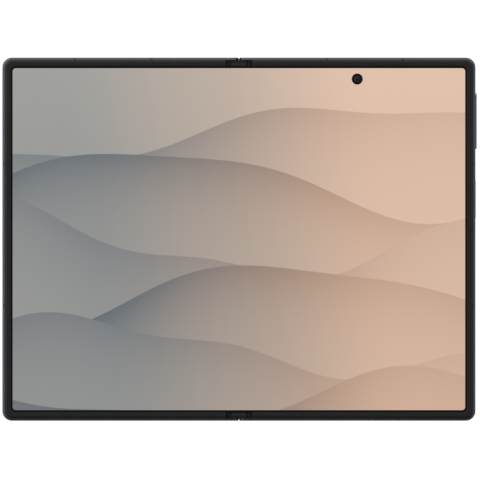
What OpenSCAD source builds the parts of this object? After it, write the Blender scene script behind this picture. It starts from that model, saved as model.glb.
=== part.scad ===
// Book-style foldable smartphone, open flat and lying on its back.
// X runs across the fold, Y along the hinge and Z up, out of the inner screen.
// The origin is under the middle of the hinge, on the plane the phone lies on.

/* [Body] */
// Width across both open halves
body_w = 161.4; // [158:0.1:166]
// Length along the hinge
body_l = 123.9; // [121:0.1:128]
// Thickness of an open half, from the back glass to the top of the bezel
body_t = 4.9; // [4.85:0.05:5.2]
// Radius of the outer corners, seen from the front
corner_r = 3.3; // [3.1:0.1:3.8]
// Wall of the metal frame
wall_t = 1.6; // [1.5:0.05:1.75]
// Rounding of the frame's front edge
front_round = 0.9; // [0.6:0.05:0.9]
// Rounding of the frame's back edge
back_round = 0.7; // [0.45:0.05:0.9]
// Thickness of the plate inside the frame that carries the display
mid_t = 0.35; // [0.3:0.05:0.45]

/* [Screen and bezel] */
// Thickness of the flexible display with its backing plate
display_t = 1; // [0.9:0.05:1.05]
// How far the bezel stands above the display
screen_recess = 0.25; // [0.2:0.05:0.35]
// Height of the sloping outer side of the bezel above the metal frame
bezel_rise = 0.3; // [0.2:0.05:0.35]
// Width of the sloping outer side of the bezel
bezel_slope = 0.6; // [0.4:0.05:0.7]
// Width of the flat top of the bezel
bezel_flat = 1.4; // [1.3:0.05:1.7]
// Inner corner radius of the bezel
bezel_in_r = 1.6; // [1.2:0.1:2.4]
// How far the display reaches in under the bezel
display_tuck = 1; // [0.6:0.05:1.05]

/* [Hinge] */
// Height of the two fold axes above the back
axis_z = 2.5; // [2.45:0.01:2.52]
// Space left between the two bezels when the phone is shut
fold_gap = 0.1; // [0.06:0.02:0.2]
// How far outside its fold axis each display half starts
leaf_set = 2; // [1.9:0.05:2.2]
// Thickness of the metal lip of each frame behind the hinge
lip_t = 0.6; // [0.55:0.01:0.62]
// Width of the visible part of that lip
lip_w = 1.35; // [1:0.05:2]
// Gap between the two lips on the back
lip_gap = 0.5; // [0.3:0.05:0.7]
// Gap between the two frames at the ends of the hinge
rail_gap = 0.2; // [0.16:0.02:0.3]
// Rounding of the frame's corners at the hinge, seen from the front
notch_r = 0.45; // [0.3:0.05:0.6]
// Wall of the hinge housing
spine_wall = 0.45; // [0.4:0.01:0.48]
// Radius of the hinge shafts
shaft_r = 0.5; // [0.4:0.02:0.52]
// Radius of the journals of the idler gears
journal_r = 0.35; // [0.3:0.01:0.4]
// Number of teeth on each of the four gears
teeth = 10; // [10:2:12]
// Distance of each hinge unit from the middle of the phone
unit_y = 30; // [24:0.5:38]
// Thickness of a bearing block
block_t = 1.6; // [1.2:0.1:2]
// Width of a gear
gear_w = 1.6; // [1.2:0.1:2]
// Width of a hinge arm
arm_w = 5; // [4:0.5:7]
// Thickness of a hinge arm
arm_t = 0.6; // [0.45:0.05:0.6]
// Radius of the eye of a hinge arm
hub_r = 1.05; // [0.95:0.01:1.08]
// Length of the bracket at the end of each arm
bracket_l = 6; // [5:0.5:8]
// Width of that bracket
bracket_w = 12; // [10:0.5:14]
// Number of disc springs on each shaft
springs = 8; // [4:2:12]
// Width of the raised middle of a hinge end cap
cap_w = 5.1; // [4.6:0.1:5.3]

/* [Keys] */
// Length of the volume key
volume_l = 19.1; // [16:0.1:22]
// Distance of the middle of the volume key from the top edge
volume_in_y = 21.65; // [18:0.05:23]
// How far the volume key stands out
volume_out = 0.55; // [0.4:0.05:0.7]
// Length of the power key
power_l = 13.4; // [11:0.1:15]
// Distance between the middles of the two keys
key_pitch = 26.6; // [24:0.1:30]
// How far the power key stands out
power_out = 0.2; // [0.2:0.05:0.4]
// Height of both keys
key_h = 1.8; // [1.5:0.05:1.9]
// Height of the middle of both keys above the back
key_z = 1.95; // [1.9:0.05:2.05]

/* [Cameras] */
// How far the lens rings stand out behind the back glass
bump_h = 1.3; // [1.1:0.05:1.8]
// How far the lens rings stand out of the camera island
ring_h = 0.4; // [0.3:0.05:0.6]
// Distance between the two rear lenses
lens_pitch = 22; // [20.5:0.5:24]
// Width of the camera island, and the diameter of its round ends
island_w = 20; // [18.4:0.2:22]
// Distance of the island's middle from the outer edge of the phone
island_in_x = 23.7; // [22.6:0.1:25]
// Distance of the island's middle from the top edge of the phone
island_in_y = 16.4; // [15.8:0.1:18]
// Outer radius of a lens ring
ring_r = 8.2; // [7.8:0.1:8.8]
// Radius of a rear lens window
window_r = 6.8; // [6:0.1:7]
// Radius of the inner camera's hole in the display
punch_r = 1.9; // [1.7:0.05:2.2]
// Distance of the inner camera from the top edge of the phone
punch_in_y = 7.35; // [7:0.05:7.6]

/* [Sockets] */
// Width of the opening of the USB-C socket
usb_w = 8.34; // [8.2:0.02:8.5]
// Height of the opening of the USB-C socket
usb_h = 2.56; // [2.5:0.02:2.6]
// Height of the middle of the USB-C socket above the back
usb_z = 2.1; // [2.05:0.01:2.14]
// Depth of the USB-C socket
usb_l = 6.2; // [6:0.1:7]
// Width of the face of the SIM tray
tray_w = 15.2; // [14.8:0.1:17]
// Height of the face of the SIM tray
tray_h = 1.8; // [1.6:0.05:2]
// Length of the SIM tray inside the wall
tray_l = 20; // [18:0.5:24]
// Height of the middle of the SIM tray above the back
tray_z = 2; // [1.9:0.05:2.1]

/* [Antenna bands] */
// Width of each plastic band in the metal frame
band_w = 1; // [0.8:0.05:1.4]
// Inner bands of the top edge, distance from the hinge line
band_top_in = 29.9; // [26:0.1:32]
// Outer bands of the top edge, distance from the hinge line
band_top_out = 56; // [54:0.1:58]
// Inner bands of the bottom edge, distance from the hinge line
band_bottom_in = 25.1; // [20:0.1:27]
// Outer bands of the bottom edge, distance from the hinge line
band_bottom_out = 55.5; // [53:0.1:57]
// Upper bands of the side edges, distance from the top edge
band_side_top = 36.25; // [34:0.05:37]
// Lower bands of the side edges, distance from the bottom edge
band_side_bottom = 39.25; // [36:0.05:42]

/* [Inside] */
// Thickness of the back glass and of the outer screen's glass
glass_t = 0.4; // [0.35:0.05:0.45]
// Thickness of the outer screen's panel
cover_panel_t = 0.6; // [0.5:0.05:0.7]
// Thickness of the circuit boards
board_t = 0.6; // [0.5:0.05:0.7]
// Length of the main board, which takes the top of the right half
main_board_l = 51.5; // [48:0.5:56]
// Length of the USB board, which takes the bottom of the right half
usb_board_l = 15; // [13:0.5:18]
// Thickness of the wireless charging coil
coil_t = 0.3; // [0.2:0.05:0.35]
// Outer radius of the wireless charging coil
coil_r = 20; // [16:0.5:22]
// Radius of the fixing screws' shanks
screw_r = 0.45; // [0.4:0.05:0.5]

/* [Hidden] */
$fn = 64;

// Clearances
run_clear = 0.03;    // shaft in its bearing, all round
press_clear = 0.01;  // pressed or threaded piece in its hole, all round
side_clear = 0.1;    // between parts that turn side by side
hinge_clear = 0.1;   // between the hinge housing and the lips behind it
seat_clear = 0.05;   // between pieces that are glued or dropped in
key_clear = 0.08;    // round a key or the tray in its slot
key_press = 0.3;     // from the back of a key to its switch
over = 1;            // how far a cutter runs past what it cuts

// Halves and heights above the back plane
half_w = body_w / 2;
half_l = body_l / 2;
screen_z = body_t - screen_recess;
display_z = screen_z - display_t;
mid_z = display_z - mid_t;
frame_top = body_t - bezel_rise;
bezel_t = 0.7;
bezel_seat_z = body_t - bezel_t;
glass_in = 1;
plate_root = 0.05;
bezel_out = front_round;
bezel_in = bezel_out + bezel_slope + bezel_flat;
display_in = bezel_in - display_tuck;
inner_wall_x = half_w - wall_t;
inner_wall_y = half_l - wall_t;

// Hinge: two axes, and a housing that is round about both
axis_x = body_t - axis_z + fold_gap / 2;
spine_r = axis_z - lip_t - hinge_clear;
spine_in_r = spine_r - spine_wall;
core_r = spine_in_r - seat_clear;
spine_half_l = half_l - front_round - hinge_clear;
leaf_x = axis_x + leaf_set;
spine_side_gap = 0.4;
frame_x = axis_x + spine_r + spine_side_gap;
hinge_wall_t = 0.9;
room_x = frame_x + hinge_wall_t;
lip_x = lip_gap / 2;
lip_edge = 0.2;
arm_slot_side = 0.2;
arm_slot_under = 0.1;
rail_x = rail_gap / 2;
support_t = 0.1;
support_under = 0.03;
core_top = display_z - support_under - support_t;
support_w = 2 * (axis_x - hub_r - seat_clear);
cap_under_leaf = 0.12;
cap_top = axis_z + leaf_set - cap_under_leaf;
cap_rib_out = 0.8;
cap_rib_x = axis_x + cap_rib_out;
cap_rib_w = 0.45;
cap_rib_drop = 0.28;
cap_rib_top = cap_top - cap_rib_drop;
cap_y = half_l - bezel_in + seat_clear;

// Gears: four equal gears in a row between the two axes
pitch_r = axis_x / 3;
gear_module = 2 * pitch_r / teeth;
tip_r = pitch_r + 0.85 * gear_module;
root_r = pitch_r - 1.15 * gear_module;

// Places along one hinge unit
gear_v = block_t + side_clear;
block2_v = gear_v + gear_w + side_clear;
arm_v = block2_v + block_t + side_clear;
washer_v = arm_v + arm_w + side_clear;
washer_t = 0.5;
spring_t = 0.25;
spring_cone = 0.12;
spring_pitch = spring_t + spring_cone;
spring_v = washer_v + washer_t + side_clear;
block3_v = spring_v + springs * spring_pitch + side_clear;
unit_l = block3_v + block_t;
spring_out_r = hub_r;
arm_top = mid_z - seat_clear;
arm_z = arm_top - arm_t;
bracket_x = room_x + arm_slot_side;
bracket_end = bracket_x + bracket_l;
bracket_screw_dy = bracket_w / 2 - 2;
bracket_screw_x = bracket_x + bracket_l / 2;
unit_screw_v = [arm_v + arm_w / 2, spring_v + 1.2];

// Screws
screw_head_r = 0.9;
sink_head_t = 0.18;
pan_head_r = 1.2;
pan_head_t = 0.25;
board_z = glass_t + cover_panel_t + pan_head_t + 2 * seat_clear;
boss_r = 1.4;
boss_end = 0.2;
unit_screw_r = 0.35;
unit_head_r = 0.65;
unit_head_t = 0.3;

// Keys and switches
volume_y = half_l - volume_in_y;
power_y = volume_y - key_pitch;
key_deep = wall_t + 0.05;
flange_t = 0.4;
flange_edge = 0.35;
switch_t = 0.8;
switch_x = half_w - key_deep - flange_t - key_press - switch_t;

// Cameras
island_x = half_w - island_in_x;
island_y = half_l - island_in_y;
island_h = bump_h - ring_h;
island_chamfer = 0.35;
window_t = 0.4;
lens_bore_r = window_r - 1;
flash_r = 1.7;
flash_dy = 3.4;
mic_r = 0.4;
barrel_r = lens_bore_r - 0.6;
camera_w = 12;
camera_z = 0.75;
camera_top = mid_z - seat_clear;
punch_x = half_w / 2;
punch_y = half_l - punch_in_y;
punch_body_w = 5.6;
punch_barrel_r = punch_r - 0.35;
cover_camera_x = -half_w / 2;
cover_camera_in_y = 9;
cover_camera_y = half_l - cover_camera_in_y;
cover_camera_r = 1.9;
panel_gap = 0.3;

// Sockets in the bottom edge
usb_x = half_w / 2;
usb_shell_t = 0.2;
usb_chamfer = 0.35;
tongue_w = 6.7;
tongue_t = 0.7;
tray_x = -half_w / 2;
tray_face_t = wall_t - 0.1;
tray_body_w = tray_w - 2.2;
tray_body_t = 1;
card_w = 8.9;
card_l = 12.4;
socket_t = 0.2;
socket_l = tray_l - 2;
pin_r = 0.45;
pin_dx = tray_w / 2 + 2;

// Antenna bands of the side edges
band_side_y = [half_l - band_side_top, band_side_bottom - half_l];

// Grilles
grille_r = 0.5;
grille_holes = 6;
grille_pitch = 2.2;
grille_x = half_w - 12.5;
grille_z = 2.2;
mic_dx = 9.5;

// Boards, batteries and what sits beside them
edge_in = 3.9;
room_far_x = half_w - edge_in;
battery_x = bracket_end + 0.6;
under_panel_z = glass_t + cover_panel_t + side_clear;
board_in = 0.8;
board_gap = 1;
speaker_w = 15;
speaker_l = 9;
speaker_in = 0.3;
speaker_y1 = speaker_in + speaker_l - inner_wall_y;
usb_board_y = -inner_wall_y + board_in;
battery_right_y = usb_board_y + usb_board_l + board_gap;
main_board_top = inner_wall_y - board_in;
main_board_y = main_board_top - main_board_l;
battery_right_end = main_board_y - board_gap;
left_board_top = -inner_wall_y + tray_l + 4;
battery_left_y = left_board_top + board_gap;
battery_left_end = min(inner_wall_y - speaker_in - speaker_l,
                       cover_camera_y - punch_body_w / 2) - board_gap;
battery_r = 1.5;
boss_in = 2.2;
shield_gap = 0.8;
shield_back = 0.35;
speaker_z = 0.9;
magnet_w = 1.3;
magnet_l = 9;
magnet_y = [17 - half_l, 48 - half_l];
magnet_z = glass_t + cover_panel_t + 0.4;
motor_w = 8;
motor_z = glass_t + 0.4;
cable_w = 16;
cable_t = 0.15;
cable_rise = 0.45;
cable_z = axis_z + cable_rise;
cable_slot = 0.2;

metal = "slategray";
dark = [0.14, 0.14, 0.15];

// ---- Helpers -------------------------------------------------------------

// Everything is drawn above the back plane, and then lifted by the camera bump
module lift() translate([0, 0, bump_h]) children();

module left_side() mirror([1, 0, 0]) children();

// A flat shape in X and Z, carried along Y from y0 to y1
module along_y(y0, y1) {
  translate([0, y1, 0]) rotate([90, 0, 0]) linear_extrude(y1 - y0) children();
}

// A flat shape in X and Y, carried up from z0 to z1
module layer(z0, z1) {
  translate([0, 0, z0]) linear_extrude(z1 - z0) children();
}

// A rectangle from corner to corner
module rect(x0, y0, x1, y1) {
  translate([x0, y0]) square([x1 - x0, y1 - y0]);
}

// A rectangle with round corners
module round_rect(x0, y0, x1, y1, r) {
  rect(x0 + r, y0, x1 - r, y1);
  rect(x0, y0 + r, x1, y1 - r);
  for (x = [x0 + r, x1 - r], y = [y0 + r, y1 - r]) translate([x, y]) circle(r);
}

// A slot with round ends: l long along X and w wide
module slot(l, w) {
  square([l - w, w], center = true);
  for (s = [-1, 1]) translate([s * (l - w) / 2, 0]) circle(w / 2);
}

// A slot whose wall slopes: w0 wide at the bottom and w1 wide at the top
module slope_slot(l, w0, w1, h) {
  for (s = [-1, 1]) translate([s * l / 2, 0, 0]) cylinder(h = h, r1 = w0 / 2, r2 = w1 / 2);
  translate([-l / 2, 0, 0]) rotate([90, 0, 90]) linear_extrude(l)
    polygon([[-w0 / 2, 0], [w0 / 2, 0], [w1 / 2, h], [-w1 / 2, h]]);
}

// A round rod along Y
module rod(x, z, r, y0, y1) {
  along_y(y0, y1) translate([x, z]) circle(r);
}

// The plan of a half between its hinge side and an inset from its outer edges
module half_plan(x0, inset, r) {
  far_x = half_w - inset;
  far_y = half_l - inset;
  rect(x0, -far_y, far_x - r, far_y);
  rect(x0, -far_y + r, far_x, far_y - r);
  for (s = [-1, 1]) translate([far_x - r, s * (far_y - r)]) circle(r);
}

// Carries a profile round the three outer edges of a half, from x0.
// In the profile, X is the distance in from the outer face and Y the height.
module edge_sweep(x0) {
  run_x = half_w - corner_r - x0;
  run_y = body_l - 2 * corner_r;
  for (s = [0, 1]) mirror([0, s, 0]) {
    translate([x0, half_l, 0]) rotate([90, 0, 90])
      linear_extrude(run_x) mirror([1, 0]) children();
    translate([half_w - corner_r, half_l - corner_r, 0]) rotate_extrude(angle = 90)
      translate([corner_r, 0]) mirror([1, 0]) children();
  }
  translate([half_w, run_y / 2, 0]) rotate([90, 0, 0])
    linear_extrude(run_y) mirror([1, 0]) children();
}

// Both hinge units, each starting at its end nearer the middle of the phone
module hinge_units() {
  for (s = [0, 1]) mirror([0, s, 0]) translate([0, unit_y, 0]) children();
}

// ---- Frame ---------------------------------------------------------------

// Section of the outer wall, rounded at the front and at the back
module wall_profile() {
  round_z = frame_top - front_round;
  rect(0, back_round, wall_t, round_z);
  intersection() {
    translate([front_round, round_z]) circle(front_round);
    rect(0, round_z, front_round, frame_top);
  }
  rect(front_round, round_z, wall_t, bezel_seat_z);
  intersection() {
    translate([back_round, back_round]) circle(back_round);
    rect(0, 0, back_round, back_round);
  }
  rect(back_round, 0, max(glass_in, back_round), back_round);
  rect(max(glass_in, back_round), glass_t, wall_t, back_round);
}

// Side view of the frame beside the hinge: round about the fold axis on top
module rail_end_side() {
  rect(rail_x, 0, frame_x, axis_z);
  rect(axis_x, 0, frame_x, frame_top);
  intersection() {
    translate([axis_x, axis_z]) circle(axis_x - rail_x);
    rect(rail_x, 0, frame_x, frame_top);
  }
}

// The end of the top rail, which covers the end of the hinge
module rail_end() {
  y0 = half_l - front_round;
  intersection() {
    along_y(y0, half_l) rail_end_side();
    translate([rail_x, half_l, 0]) rotate([90, 0, 90])
      linear_extrude(frame_x - rail_x) mirror([1, 0]) wall_profile();
    layer(-over, body_t + over) {
      rect(rail_x + notch_r, y0, frame_x, half_l);
      rect(rail_x, y0, frame_x, half_l - notch_r);
      translate([rail_x + notch_r, half_l - notch_r]) circle(notch_r);
    }
  }
}

// The lip behind the hinge, thin where the back glass lies over it
module hinge_lip() {
  y1 = half_l - front_round;
  along_y(-y1, y1) {
    polygon([
      [lip_x + lip_edge, 0], [lip_x + lip_w, 0], [lip_x + lip_w, lip_t],
      [lip_x, lip_t], [lip_x, lip_edge]
    ]);
    rect(lip_x + lip_w, glass_t, room_x, lip_t);
  }
}

// The wall between the hinge and the inside of a half
module hinge_wall() {
  difference() {
    translate([frame_x, -inner_wall_y, lip_t])
      cube([hinge_wall_t, 2 * inner_wall_y, mid_z - lip_t]);
    hinge_units() {
      translate([frame_x - over, arm_v - arm_slot_side, arm_z - arm_slot_under])
        cube([hinge_wall_t + 2 * over, arm_w + 2 * arm_slot_side, over + arm_t]);
    }
    translate([frame_x - over, -cable_w / 2 - cable_slot, cable_z - cable_slot])
      cube([hinge_wall_t + 2 * over, cable_w + 2 * cable_slot, over + cable_t]);
  }
}

// Slots for the antenna bands: children(0) is what a band is cut from
module band_cuts() {
  deep = wall_t;
  for (x = [band_top_in, band_top_out]) translate([x - band_w / 2, half_l - deep, -over])
    cube([band_w, deep + over, body_t + 2 * over]);
  for (x = [band_bottom_in, band_bottom_out])
    translate([x - band_w / 2, -half_l - over, -over])
      cube([band_w, deep + over, body_t + 2 * over]);
  for (y = band_side_y)
    translate([half_w - deep, y - band_w / 2, -over])
      cube([deep + over, band_w, body_t + 2 * over]);
}

module antenna_bands() {
  for (x = [band_top_in, band_top_out])
    translate([x - band_w / 2, half_l, 0]) rotate([90, 0, 90])
      linear_extrude(band_w) mirror([1, 0]) wall_profile();
  for (x = [band_bottom_in, band_bottom_out])
    mirror([0, 1, 0]) translate([x - band_w / 2, half_l, 0]) rotate([90, 0, 90])
      linear_extrude(band_w) mirror([1, 0]) wall_profile();
  for (y = band_side_y)
    translate([half_w, y + band_w / 2, 0]) rotate([90, 0, 0])
      linear_extrude(band_w) mirror([1, 0]) wall_profile();
}

// Posts under the middle plate that the boards are screwed to
module bosses(places) {
  for (p = places) translate([p[0], p[1], board_z + board_t])
    cylinder(h = mid_z - board_z - board_t, r = boss_r);
}

module boss_holes(places) {
  for (p = places) translate([p[0], p[1], board_z])
    cylinder(h = mid_z - board_z - boss_end, r = screw_r + press_clear);
}

// Sunk holes in the middle plate for the screws into the hinge brackets
module bracket_screw_places() {
  hinge_units() {
    for (s = [-1, 1])
      translate([bracket_screw_x, arm_v + arm_w / 2 + s * bracket_screw_dy, 0]) children();
  }
}

// What both frames share
module plain_frame(posts) {
  difference() {
    union() {
      edge_sweep(frame_x) wall_profile();
      layer(mid_z, display_z) half_plan(frame_x, wall_t - plate_root, corner_r - wall_t);
    }
    bracket_screw_places() {
      translate([0, 0, mid_z - over]) cylinder(h = 3 * over, r = screw_r + side_clear);
      translate([0, 0, display_z - sink_head_t - 2 * press_clear])
        cylinder(h = over, r = screw_head_r + side_clear);
    }
    band_cuts();
    boss_holes(posts);
  }
  hinge_wall();
  hinge_lip();
  for (s = [0, 1]) mirror([0, s, 0]) rail_end();
  difference() {
    bosses(posts);
    boss_holes(posts);
  }
}

// A round hole through the top (s = 1) or bottom (s = -1) wall
module edge_hole(x, z, r, s) {
  translate([x, s * half_l, z]) rotate([90, 0, 0])
    cylinder(h = 2 * (wall_t + side_clear), r = r, center = true);
}

module grille(s) {
  for (i = [0 : grille_holes - 1])
    edge_hole(grille_x + (i - (grille_holes - 1) / 2) * grille_pitch, grille_z, grille_r, s);
}

// A key's slot through the side wall, seen along X
module key_slot(y, l) {
  translate([half_w - wall_t - over, y, key_z]) rotate([90, 0, 90])
    linear_extrude(wall_t + 2 * over) slot(l + 2 * key_clear, key_h + 2 * key_clear);
}

main_posts = [
  [battery_x + boss_in, main_board_y + boss_in], [room_far_x - boss_in, main_board_y + boss_in],
  [battery_x + boss_in, main_board_top - boss_in]
];
usb_posts = [
  [battery_x + boss_in, usb_board_y + usb_board_l / 2], [usb_x + 10, usb_board_y + 3]
];
left_posts = [
  [battery_x + boss_in, left_board_top - boss_in], [room_far_x - boss_in, left_board_top - boss_in]
];

module right_frame() {
  color(metal) lift() {
    difference() {
      plain_frame(concat(main_posts, usb_posts));
      key_slot(volume_y, volume_l);
      key_slot(power_y, power_l);
      translate([usb_x, -half_l + wall_t + 0.1, usb_z]) rotate([90, 0, 0])
        linear_extrude(wall_t + over) slot(usb_w + 2 * usb_shell_t, usb_h + 2 * usb_shell_t);
      translate([usb_x, -half_l, usb_z]) rotate([-90, 0, 0])
        slope_slot(usb_w - usb_h, usb_h + 2 * (usb_shell_t + usb_chamfer),
                   usb_h + 2 * usb_shell_t, usb_chamfer);
      translate([usb_x, -half_l + wall_t, mid_z - over])
        layer(0, over + display_z) rect(-usb_w / 2 - 1, -0.1, usb_w / 2 + 1, usb_l - wall_t + 1);
      grille(-1);
      edge_hole(usb_x - mic_dx, grille_z, mic_r, -1);
      edge_hole(punch_x + mic_dx, grille_z, mic_r, 1);
      translate([punch_x, punch_y, mid_z - over])
        cylinder(h = 3 * over, r = punch_barrel_r + 0.15);
    }
  }
}

module right_antenna_bands() {
  color(dark) lift() antenna_bands();
}

module left_frame() {
  color(metal) lift() difference() {
    left_side() plain_frame(left_posts);
    translate([tray_x, -half_l + wall_t + over, tray_z]) rotate([90, 0, 0])
      linear_extrude(wall_t + 2 * over) slot(tray_w + 2 * key_clear, tray_h + 2 * key_clear);
    edge_hole(tray_x - pin_dx, tray_z, pin_r, -1);
    left_side() grille(1);
  }
}

module left_antenna_bands() {
  color(dark) lift() left_side() antenna_bands();
}

// ---- Bezel, display and back ---------------------------------------------

// Section of the bezel's outer part, from the metal frame to its flat top
module bezel_profile() {
  polygon([
    [bezel_out, bezel_seat_z], [display_in - 0.1, bezel_seat_z], [display_in - 0.1, body_t],
    [bezel_out + bezel_slope, body_t], [bezel_out, frame_top]
  ]);
}

module bezel() {
  edge_sweep(leaf_x) bezel_profile();
  r = corner_r - bezel_out - bezel_slope;
  layer(screen_z, body_t) difference() {
    half_plan(leaf_x, bezel_out + bezel_slope, r);
    half_plan(leaf_x - over, bezel_in, bezel_in_r);
  }
}

module right_bezel() {
  color(dark) lift() bezel();
}

module left_bezel() {
  color(dark) lift() left_side() bezel();
}

module display_right() {
  color("tan") lift() difference() {
    layer(display_z, screen_z) half_plan(leaf_x, display_in, bezel_in_r);
    translate([punch_x, punch_y, display_z - over]) cylinder(h = display_t + 2 * over, r = punch_r);
  }
}

module display_left() {
  color("darkgray") lift() left_side()
    layer(display_z, screen_z) half_plan(leaf_x, display_in, bezel_in_r);
}

module display_fold() {
  y1 = half_l - bezel_in;
  color("rosybrown") lift()
    layer(display_z, screen_z) rect(-leaf_x + 0.02, -y1, leaf_x - 0.02, y1);
}

// The plan of the back glass
module back_plan() {
  half_plan(lip_x + lip_w + seat_clear, max(glass_in, back_round) + seat_clear,
            corner_r - max(glass_in, back_round));
}

module rear_glass() {
  color([0.25, 0.27, 0.3]) lift() difference() {
    layer(0, glass_t) back_plan();
    translate([island_x, island_y, -over]) linear_extrude(glass_t + 2 * over)
      slot(lens_pitch + island_w + 2 * seat_clear, island_w + 2 * seat_clear);
  }
}

module cover_glass() {
  color([0.06, 0.06, 0.07]) lift() left_side() layer(0, glass_t) back_plan();
}

module cover_display() {
  z0 = glass_t + 2 * press_clear;
  color([0.03, 0.03, 0.03]) lift() difference() {
    left_side() layer(z0, z0 + cover_panel_t)
      half_plan(room_x + panel_gap, wall_t + panel_gap, corner_r - wall_t);
    translate([cover_camera_x, cover_camera_y, 0])
      cylinder(h = 2 * over, r = cover_camera_r + panel_gap);
    translate([tray_x, -half_l, 0])
      layer(0, 2 * over) rect(-tray_w / 2 - panel_gap, 0, tray_w / 2 + panel_gap, wall_t + 1);
  }
}

// ---- Rear and inner cameras ----------------------------------------------

module lens_places() {
  for (s = [-1, 1]) translate([island_x + s * lens_pitch / 2, island_y, 0]) children();
}

module camera_island() {
  color(metal) lift() difference() {
    union() {
      translate([island_x, island_y, -island_h])
        slope_slot(lens_pitch, island_w - 2 * island_chamfer, island_w, island_chamfer);
      translate([island_x, island_y, island_chamfer - island_h])
        linear_extrude(island_h - island_chamfer + glass_t) slot(lens_pitch + island_w, island_w);
    }
    lens_places() {
      translate([0, 0, -bump_h - over]) cylinder(h = bump_h + 3 * over, r = lens_bore_r);
      translate([0, 0, -island_h - over])
        cylinder(h = over + window_t, r = window_r + seat_clear);
    }
    translate([island_x, island_y + flash_dy, -island_h - over])
      cylinder(h = island_h + 3 * over, r = flash_r + seat_clear);
    translate([island_x, island_y - flash_dy, -island_h - over])
      cylinder(h = island_h + 3 * over, r = mic_r);
  }
}

module camera_rings() {
  color("silver") lift() lens_places() translate([0, 0, -bump_h]) difference() {
    union() {
      cylinder(h = 0.15, r1 = ring_r - 0.15, r2 = ring_r);
      translate([0, 0, 0.15]) cylinder(h = ring_h - 0.15, r = ring_r);
    }
    translate([0, 0, -over]) cylinder(h = ring_h + 2 * over, r = window_r);
  }
}

module camera_windows() {
  color([0.05, 0.05, 0.07]) lift() lens_places()
    translate([0, 0, -island_h]) cylinder(h = window_t, r = window_r);
}

module flash_lens() {
  color("ivory") lift() translate([island_x, island_y + flash_dy, -island_h])
    cylinder(h = 0.8, r = flash_r);
}

// A camera: a square body with a round lens barrel behind its window
module rear_camera(s, barrel, w) {
  translate([island_x + s * lens_pitch / 2, island_y, 0]) {
    translate([0, 0, window_t - island_h + 0.1])
      cylinder(h = camera_z + island_h - window_t, r = barrel);
    translate([-w / 2, -w / 2, camera_z]) cube([w, w, camera_top - camera_z]);
  }
}

module main_camera() {
  color(dark) lift() rear_camera(1, barrel_r, camera_w);
}

module wide_camera() {
  color(dark) lift() rear_camera(-1, barrel_r - 0.8, camera_w - 1);
}

module inner_camera() {
  w = punch_body_w;
  color(dark) lift() translate([punch_x, punch_y, 0]) {
    translate([-w / 2, -w / 2, camera_z]) cube([w, w, camera_top - camera_z]);
    translate([0, 0, camera_top - 0.1])
      cylinder(h = screen_z - 0.35 - camera_top, r = punch_barrel_r);
  }
}

module inner_camera_window() {
  color([0.02, 0.02, 0.02]) lift() translate([punch_x, punch_y, screen_z - 0.22])
    cylinder(h = 0.22, r = punch_r - press_clear);
}

module cover_camera() {
  w = punch_body_w;
  color(dark) lift() translate([cover_camera_x, cover_camera_y, 0]) {
    translate([0, 0, glass_t + seat_clear])
      cylinder(h = cover_panel_t + 0.3, r = cover_camera_r);
    translate([-w / 2, -w / 2, under_panel_z]) cube([w, w, camera_top - under_panel_z]);
  }
}

// ---- Keys ----------------------------------------------------------------

// A key: a rounded face, a shank through the wall and a flange behind it
module key(y, l, out) {
  tip_r = min(0.5, out + 0.2);
  intersection() {
    translate([half_w - key_deep, y, key_z]) rotate([90, 0, 90])
      linear_extrude(key_deep + out) slot(l, key_h);
    layer(0, body_t) union() {
      rect(half_w - key_deep, y - l / 2, half_w + out - tip_r, y + l / 2);
      rect(half_w - key_deep, y - l / 2 + tip_r, half_w + out, y + l / 2 - tip_r);
      for (s = [-1, 1])
        translate([half_w + out - tip_r, y + s * (l / 2 - tip_r)]) circle(tip_r);
    }
  }
  translate([half_w - key_deep - flange_t, y, key_z]) rotate([90, 0, 90])
    linear_extrude(flange_t) slot(l + 2 * flange_edge, key_h + 2 * flange_edge);
}

module volume_key() {
  color(metal) lift() key(volume_y, volume_l, volume_out);
}

module power_key() {
  color(metal) lift() key(power_y, power_l, power_out);
}

// A strip behind both keys with a dome switch under each end or middle
module key_switches() {
  strip_t = 0.3;
  dome_r = 0.9;
  y0 = power_y - power_l / 2;
  y1 = volume_y + volume_l / 2;
  color("gold") lift() {
    translate([switch_x, y0, key_z - key_h / 2]) cube([strip_t, y1 - y0, key_h]);
    for (y = [volume_y - volume_l / 4, volume_y + volume_l / 4, power_y])
      translate([switch_x + strip_t - 0.05, y, key_z]) rotate([0, 90, 0])
        cylinder(h = switch_t - strip_t + 0.05, r = dome_r);
  }
}

// ---- Boards, batteries and sockets ---------------------------------------

module camera_openings() {
  lens_places() cube([camera_w + 1, camera_w + 1, 9], center = true);
  translate([punch_x, punch_y, 0])
    cube([punch_body_w + 0.6, punch_body_w + 0.6, 9], center = true);
  translate([island_x, island_y, 0]) cylinder(h = 2 * board_z, r = flash_dy + flash_r, center = true);
}

module post_holes(places) {
  for (p = places) translate([p[0], p[1], 0]) cylinder(h = body_t, r = screw_r + 0.05);
}

module main_board() {
  color("darkgreen") lift() difference() {
    layer(board_z, board_z + board_t)
      rect(battery_x, main_board_y, room_far_x, main_board_top);
    camera_openings();
    post_holes(main_posts);
  }
}

// Metal cans over the chips, between the board and the back
module board_shields() {
  clear_of_screw = boss_in + pan_head_r + shield_gap;
  x0 = battery_x + clear_of_screw;
  x1 = min(punch_x - punch_body_w / 2, island_x - (lens_pitch + camera_w) / 2) - shield_gap;
  x2 = x1 + 2 * shield_gap;
  x3 = room_far_x - clear_of_screw;
  y0 = main_board_y + shield_gap;
  y1 = main_board_top - shield_gap;
  y2 = island_y - max(camera_w / 2, flash_dy + flash_r) - 2 * shield_gap;
  color("silver") lift() layer(glass_t + shield_back, board_z) {
    rect(x0, y0, x1, y1);
    rect(x2, y0, x3, y2);
  }
}

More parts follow.
